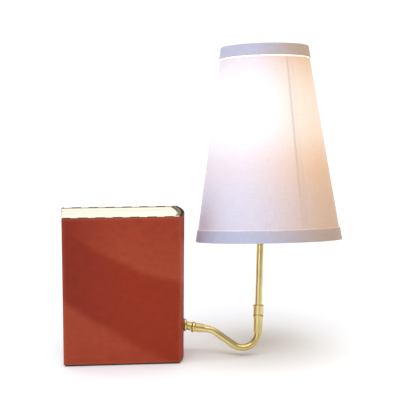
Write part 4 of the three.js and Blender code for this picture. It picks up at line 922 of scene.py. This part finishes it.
def paint_cover(cover, low, high):
    """Stores where the leather is rubbed, near its edges, and where its darkened rim shows."""
    wear = cover.data.attributes.new("wear", "FLOAT", "POINT")
    rim = cover.data.attributes.new("rim", "FLOAT", "POINT")
    for index, vertex in enumerate(cover.data.vertices):
        spot = vertex.co
        ends = min(spot.z - low, high - spot.z)
        nearest = min(ends, spot.x - BOOK_LOW.x, abs(spot.x - BOOK_HIGH.x) + JOINT_MARGIN)
        wear.data[index].value = max(0.0, 1 - nearest / RUBBED_WIDTH) ** 2
        rim.data[index].value = 1.0 if ends < RIM_SHARE * COVER_ROUND else 0.0


def drill_cover(cover):
    """Cuts the swivel's hole through the spine and the cord's hole through the back board."""
    low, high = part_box("cord_bushing")
    inlet = (low + high) / 2
    across = place_at((SPINE_LOW.x - RUN_IN, 0, SWIVEL.z), (0, 1, 0), SIDEWAYS)
    through = place_at((inlet.x, BACK_LOW.y - RUN_IN, inlet.z), (1, 0, 0), (0, 1, 0))
    drill(cover, across, extent("swivel_nipple", ACROSS)[2] + HOLE_CLEARANCE, facets=48)
    drill(cover, through, barrel_radius(inlet) + HOLE_CLEARANCE, facets=48)


def barrel_radius(inlet):
    """The radius of the cord bushing inside the board."""
    inside = [v.co for v in frame["nodes"]["cord_bushing"].data.vertices if v.co.y < HALF_BOOK]
    return max(math.hypot(point.x - inlet.x, point.z - inlet.z) for point in inside)


make_cover()


def make_page_block():
    """A stack of leaves: every leaf edge stands a little higher or lower than the next."""
    draw = random.Random(LEAF_SEED)
    centre, radius = spine_circle()
    inner = radius - BOARD - SPINE_GAP
    low, high = PAGE_LOW.copy(), PAGE_HIGH.copy()
    low.x = BOOK_LOW.x + LEAF_SQUARE
    high.z = BOOK_HIGH.z - LEAF_SQUARE
    rings = []
    for k in range(LEAVES + 1):
        y = low.y + (high.y - low.y) * k / LEAVES
        back = centre + math.sqrt(inner ** 2 - y ** 2)
        lift = draw.uniform(LEAF_LIFTS[k % 2], 0.0)
        push = draw.uniform(0.0, LEAF_PUSH)
        left, start = low.x + push, back - BAND_WELL
        top, well = high.z + lift, PAGE_HIGH.z + lift
        outline = [(left, low.z + push), (back, low.z), (back, low.z + (well - low.z) * 0.5)]
        outline += [(back, well), (start, well), (start, top)]
        for i in range(1, LEAF_STEPS):
            waver = draw.uniform(-LEAF_WAVER, LEAF_WAVER)
            outline.append((start + (left - start) * i / LEAF_STEPS, top + waver))
        outline += [(left, top), (left, low.z + (top - low.z) * 0.5)]
        rings.append([Vector((x, y, z)) for x, z in outline])
    block = new_object("page_leaves", *loft(rings, caps=True), smooth_angle=20)
    room_low = Vector((low.x + ROOM_WALL, low.y - 1 * MM, low.z + ROOM_WALL))
    room_high = Vector((BOOK_HIGH.x - ROOM_WALL, high.y + 1 * MM, high.z - ROOM_WALL))
    hollow_out(block, room_low, room_high)
    finish_piece(block, "base", "page_paper", ["page_block"])


def hollow_out(block, low, high):
    """Cuts the ballast's room through the leaves, and the swivel's hole through their back."""
    corners = [
        Vector((x, y, z)) for x in (low.x, high.x) for y in (low.y, high.y) for z in (low.z, high.z)
    ]
    faces = [(0, 1, 3, 2), (4, 6, 7, 5), (0, 4, 5, 1), (2, 3, 7, 6), (0, 2, 6, 4), (1, 5, 7, 3)]
    cut_out(block, new_object("room", corners, faces))
    across = place_at((high.x - 1 * MM, 0, SWIVEL.z), (0, 1, 0), SIDEWAYS)
    drill(block, across, extent("swivel_nipple", ACROSS)[2] + HOLE_CLEARANCE, facets=40)


make_page_block()


def raised_strip(points, width, height, side):
    """A low rounded strip that lies on top of an edge along a line, to one side of it."""
    profile = [(0, -0.5), (0.08, 0.6), (0.3, 1), (0.7, 1), (0.92, 0.6), (1, -0.5)]
    rings = []
    for i, point in enumerate(points):
        along = (points[min(i + 1, len(points) - 1)] - points[max(i - 1, 0)]).normalized()
        across = Vector((-along.y, along.x, 0)) * side
        rings.append([point + across * (width * u) + Vector((0, 0, height * v)) for u, v in profile])
    return loft(rings, caps=True)


def level_line(start, end, y, steps):
    """Points along the top of a board."""
    return [Vector((start + (end - start) * k / steps, y, BOOK_HIGH.z)) for k in range(steps + 1)]


def make_tooling():
    """A dark line along the inner edge of each board's top, crossed by gilt dashes."""
    inside = BACK_LOW.y
    start, end = BOOK_LOW.x + LINE_ENDS[0], BOOK_HIGH.x - LINE_ENDS[1]
    for name, y, side, shift in (("front", -inside, -1, FRONT_SHIFT), ("back", inside, 1, 0.0)):
        line = level_line(start, end, y, LINE_STEPS)
        strip = new_object(f"{name}_tooling_line", *raised_strip(line, TOOLING_WIDTH, TOOLING_PROUD, side))
        finish_piece(strip, "base", "red_leather", material=DARK_LINE)
        for k in range(int((end - start) / DASH_PITCH) + 1):
            left = start + (k + shift) * DASH_PITCH + DASH_START
            right = min(left + DASH_LENGTH, end)
            if right - left < DASH_SHORTEST:
                continue
            bits = level_line(left, right, y, DASH_STEPS)
            shape = raised_strip(bits, TOOLING_WIDTH * DASH_WIDER, TOOLING_PROUD * DASH_PROUDER, side)
            dash = new_object(f"{name}_gilt_dash_{k + 1}", *shape)
            finish_piece(dash, "base", "page_paper", material=GILT)


make_tooling()


def make_head_band():
    """The wound band at the head of the spine, ribbed by its thread."""
    low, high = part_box("head_band")
    radius = (high.z - low.z) / 2
    centre, _ = spine_circle()
    middle = Vector((centre, 0, (low.z + high.z) / 2))
    path_radius = high.x - radius - centre
    reach = math.asin((high.y - radius * BAND_TUCK) / path_radius)
    rings = []
    for k in range(BAND_STEPS + 1):
        share = k / BAND_STEPS
        angle = -reach + 2 * reach * share
        out = Vector((math.cos(angle), math.sin(angle), 0))
        rib = radius * (1 - BAND_RIB + BAND_RIB * abs(math.sin(math.pi * BAND_TURNS * share)))
        ring = []
        for i in range(BAND_SIDES):
            turn = TURN * i / BAND_SIDES
            spot = middle + out * (path_radius + rib * math.cos(turn))
            ring.append(spot + Vector((0, 0, rib * math.sin(turn))))
        rings.append(ring)
    band = new_object("head_band_wound", *loft(rings, caps=True))
    layer = band.data.uv_layers.new(name="wind")
    for polygon in band.data.polygons:
        for loop in polygon.loop_indices:
            ring, side = divmod(band.data.loops[loop].vertex_index, BAND_SIDES)
            wound = ring / BAND_STEPS * BAND_TURNS / 2
            layer.data[loop].uv = (wound + 0.5 * side / BAND_SIDES, side / BAND_SIDES)
    finish_piece(band, "base", "band_cloth", ["head_band"])


make_head_band()


# ---- Arm ----
NECK_LENGTH = 12.9 * MM
NECK_SLOPE = math.radians(-14)
LEAD_IN_LENGTH = 18 * MM
LEAD_IN_SLOPE = math.radians(-9.5)
DROP_BEND_RADIUS = 28 * MM
DROP_SLOPE = math.radians(-36)
DROP_LENGTH = 28.4 * MM
HOOK_BEND_RADIUS = 20 * MM
HOOK_END_LENGTH = 16 * MM
STEM_SLOPE = math.atan2(STEM_AXIS.dot(ARM_UP), STEM_AXIS.x)
BEND_STEP = math.radians(2.5)
TUBE_GAP = 0.3 * MM
TUBE_STEP_IN = 0.05 * MM
TUBE_WALL = 1.2 * MM
TUBE_SIDES = 40
TUBE_SQUEEZE = 0.035
FULL_BEND = math.radians(5)


def towards(slope):
    """A unit step along a slope in the arm's plane."""
    return Vector((math.cos(slope), math.sin(slope)))


def leftward(slope):
    """A unit step square to a slope in the arm's plane."""
    return Vector((-math.sin(slope), math.cos(slope)))


def in_space(spot):
    """A point or step of the arm's plane as one in space."""
    return Vector((spot.x, 0, spot.y))


def arm_line():
    """The bent tube's centre line in the arm's own plane, with the heading at each point."""
    heading = LEAD_IN_SLOPE
    spot = towards(NECK_SLOPE) * NECK_LENGTH + towards(heading) * TUBE_GAP
    line = [(spot.copy(), heading)]

    def straight(length, steps):
        nonlocal spot
        start = spot.copy()
        for k in range(1, steps + 1):
            spot = start + towards(heading) * (length * k / steps)
            line.append((spot.copy(), heading))

    def bend(radius, slope):
        nonlocal spot, heading
        side = math.copysign(1, slope - heading)
        start = heading
        centre = spot + leftward(start) * (side * radius)
        steps = max(4, round(abs(slope - start) / BEND_STEP))
        for k in range(1, steps + 1):
            heading = start + (slope - start) * k / steps
            spot = centre - leftward(heading) * (side * radius)
            line.append((spot.copy(), heading))

    straight(LEAD_IN_LENGTH - TUBE_GAP, steps=6)
    bend(DROP_BEND_RADIUS, DROP_SLOPE)
    straight(DROP_LENGTH, steps=8)
    bend(HOOK_BEND_RADIUS, STEM_SLOPE)
    straight(HOOK_END_LENGTH, steps=5)
    return line


def make_arm_tube():
    """The S and J of brass tube, with the slight flattening that bending leaves."""
    radius = extent("stem_tube", STEM)[2] - TUBE_STEP_IN
    side = Vector((0, 1, 0))
    outer_rings, inner_rings = [], []
    line = arm_line()
    for index, (spot, heading) in enumerate(line):
        before, after = line[max(index - 1, 0)][1], line[min(index + 1, len(line) - 1)][1]
        squeeze = 1 - TUBE_SQUEEZE * min(1.0, abs(after - before) / FULL_BEND)
        normal = in_space(leftward(heading))
        for rings, size in ((outer_rings, radius), (inner_rings, radius - TUBE_WALL)):
            ring = []
            for k in range(TUBE_SIDES):
                angle = TURN * k / TUBE_SIDES
                point = in_space(spot) + normal * (size * squeeze * math.cos(angle))
                ring.append(ARM @ (point + side * (size * math.sin(angle))))
            rings.append(ring)
    tube = new_object("arm_tube_fine", *loft(outer_rings + inner_rings[::-1], closed_path=True))
    finish_piece(tube, "arm", "aged_brass", ["arm_tube"])


def make_arm():
    """The turned pieces from the spine up to the bulb, each with the rounding of its corners."""
    make_arm_tube()
    collar_spot = in_space(towards(NECK_SLOPE)) * NECK_LENGTH
    collar = ARM @ place_at(collar_spot, (0, 1, 0), in_space(towards(LEAD_IN_SLOPE)))
    for name, place, body, slot, rounding in (
        ("spine_flange", ACROSS, "base", "aged_brass", 0.8 * MM),
        ("collar", collar, "arm", "aged_brass", 0.6 * MM),
        ("ferrule_base", STEM, "arm", "aged_brass", 0.5 * MM),
        ("ferrule_cap", STEM, "stem", "aged_brass", 0.5 * MM),
        ("stem_tube", STEM, "stem", "aged_brass", 0.25 * MM),
        ("socket_cap", STEM, "stem", "aged_brass", 0.8 * MM),
        ("bulb_base", STEM, "stem", "aluminium_cap", 0.4 * MM),
        ("bulb_glass", STEM, "stem", "bulb_glass", 1.5 * MM),
    ):
        finer(name, place, body, slot, rounding=rounding)


make_arm()

# ---- Shade ----
SHADE_FACETS = 240
FABRIC_THICKNESS = 0.8 * MM
FABRIC_ROWS = 48
SEAM_FACETS = 6
SEAM_FALL = 1.2 * MM
TRIM_ROUND = 0.5 * MM
TRIM_ROW = 2.5 * MM
PUCKERS = 9
PUCKER_COUNTS = (9, 40)
PUCKER_SIZES = (0.02, 0.07)


def cloth_coordinates(piece, radius):
    """Lays the cloth's own coordinates, in metres round and along the shade, over a turned piece."""
    layer = piece.data.uv_layers.new(name="cloth")
    into = SHADE.inverted()
    points = [into @ vertex.co for vertex in piece.data.vertices]
    turns = [math.atan2(point.y, point.x) % TURN for point in points]
    for polygon in piece.data.polygons:
        corners = [(loop, piece.data.loops[loop].vertex_index) for loop in polygon.loop_indices]
        round_share = [turns[index] for _, index in corners]
        wraps = max(round_share) - min(round_share) > math.pi
        for loop, index in corners:
            turn = turns[index] + TURN if wraps and turns[index] < math.pi else turns[index]
            layer.data[loop].uv = (turn * radius, points[index].z)


def make_fabric():
    """The linen cover: one wrapped cloth whose end laps over its start in a straight seam."""
    low, low_radius, high, high_radius = wall_sizes("shade_fabric")
    angles = [SEAM_TURN + TURN * k / SHADE_FACETS for k in range(SHADE_FACETS)]
    angles += [SEAM_TURN + SEAM_WIDTH / low_radius * k / SEAM_FACETS for k in range(SEAM_FACETS)]
    angles = sorted(set(round(angle, 6) for angle in angles))
    outer_rings, inner_rings, layers = [], [], []
    for row in range(FABRIC_ROWS + 1):
        share = row / FABRIC_ROWS
        height = low + (high - low) * share
        radius = low_radius + (high_radius - low_radius) * share
        outer = []
        for angle in angles:
            past = (angle - SEAM_TURN) % TURN * radius
            lapped = past < SEAM_WIDTH
            proud = SEAM_STEP * min(1.0, (SEAM_WIDTH - past) / SEAM_FALL) if lapped else 0
            outer.append(polar(SHADE, radius + proud, angle, height))
            layers.append(1.0 if lapped else 0.0)
        outer_rings.append(outer)
        inner_rings.append([polar(SHADE, radius - FABRIC_THICKNESS, angle, height) for angle in angles])
    vertices, faces = loft(outer_rings + inner_rings[::-1], closed_path=True)
    cover = new_object("linen_cover", vertices, faces, smooth_angle=50)
    marks = cover.data.attributes.new("layers", "FLOAT", "POINT")
    for index, layer in enumerate(layers):
        marks.data[index].value = layer
    cloth_coordinates(cover, (low_radius + high_radius) / 2)
    finish_piece(cover, "shade", "linen_cloth", ["shade_fabric"])


def make_trim(name):
    """A folded linen band over a rim, slightly puckered where it turns."""
    outline, looped = outline_of(name, SHADE)
    soft = softened(outline, looped, TRIM_ROUND, steps=4)
    rows = []
    for i, point in enumerate(soft):
        following = soft[(i + 1) % len(soft)]
        pieces = max(1, int((following - point).length / TRIM_ROW))
        rows += [point.lerp(following, k / pieces) for k in range(pieces)]
    band = turned(f"{name}_cloth", rows, looped, SHADE, SHADE_FACETS)
    draw = random.Random(len(name))
    waves = []
    for _ in range(PUCKERS):
        waves.append((draw.randint(*PUCKER_COUNTS), draw.uniform(0, TURN), draw.uniform(*PUCKER_SIZES)))
    into = SHADE.inverted()
    for vertex in band.data.vertices:
        point = into @ vertex.co
        angle = math.atan2(point.y, point.x)
        pucker = sum(size * math.sin(count * angle + phase) for count, phase, size in waves) * MM
        stretch = 1 + pucker / math.hypot(point.x, point.y)
        vertex.co = SHADE @ Vector((point.x * stretch, point.y * stretch, point.z))
    cloth_coordinates(band, extent(name, SHADE)[2])
    finish_piece(band, "shade", "trim_cloth", [name])


def make_shade():
    """The shade's cloth, trims, liner and wire rings."""
    make_fabric()
    make_trim("top_trim")
    make_trim("bottom_trim")
    finer("shade_liner", SHADE, "shade", "liner_sheet", facets=160, rounding=0.1 * MM)
    for name in ("top_ring", "bottom_ring"):
        finer(name, SHADE, "shade", "wire_steel", facets=120, rounding=0.6 * MM)


make_shade()
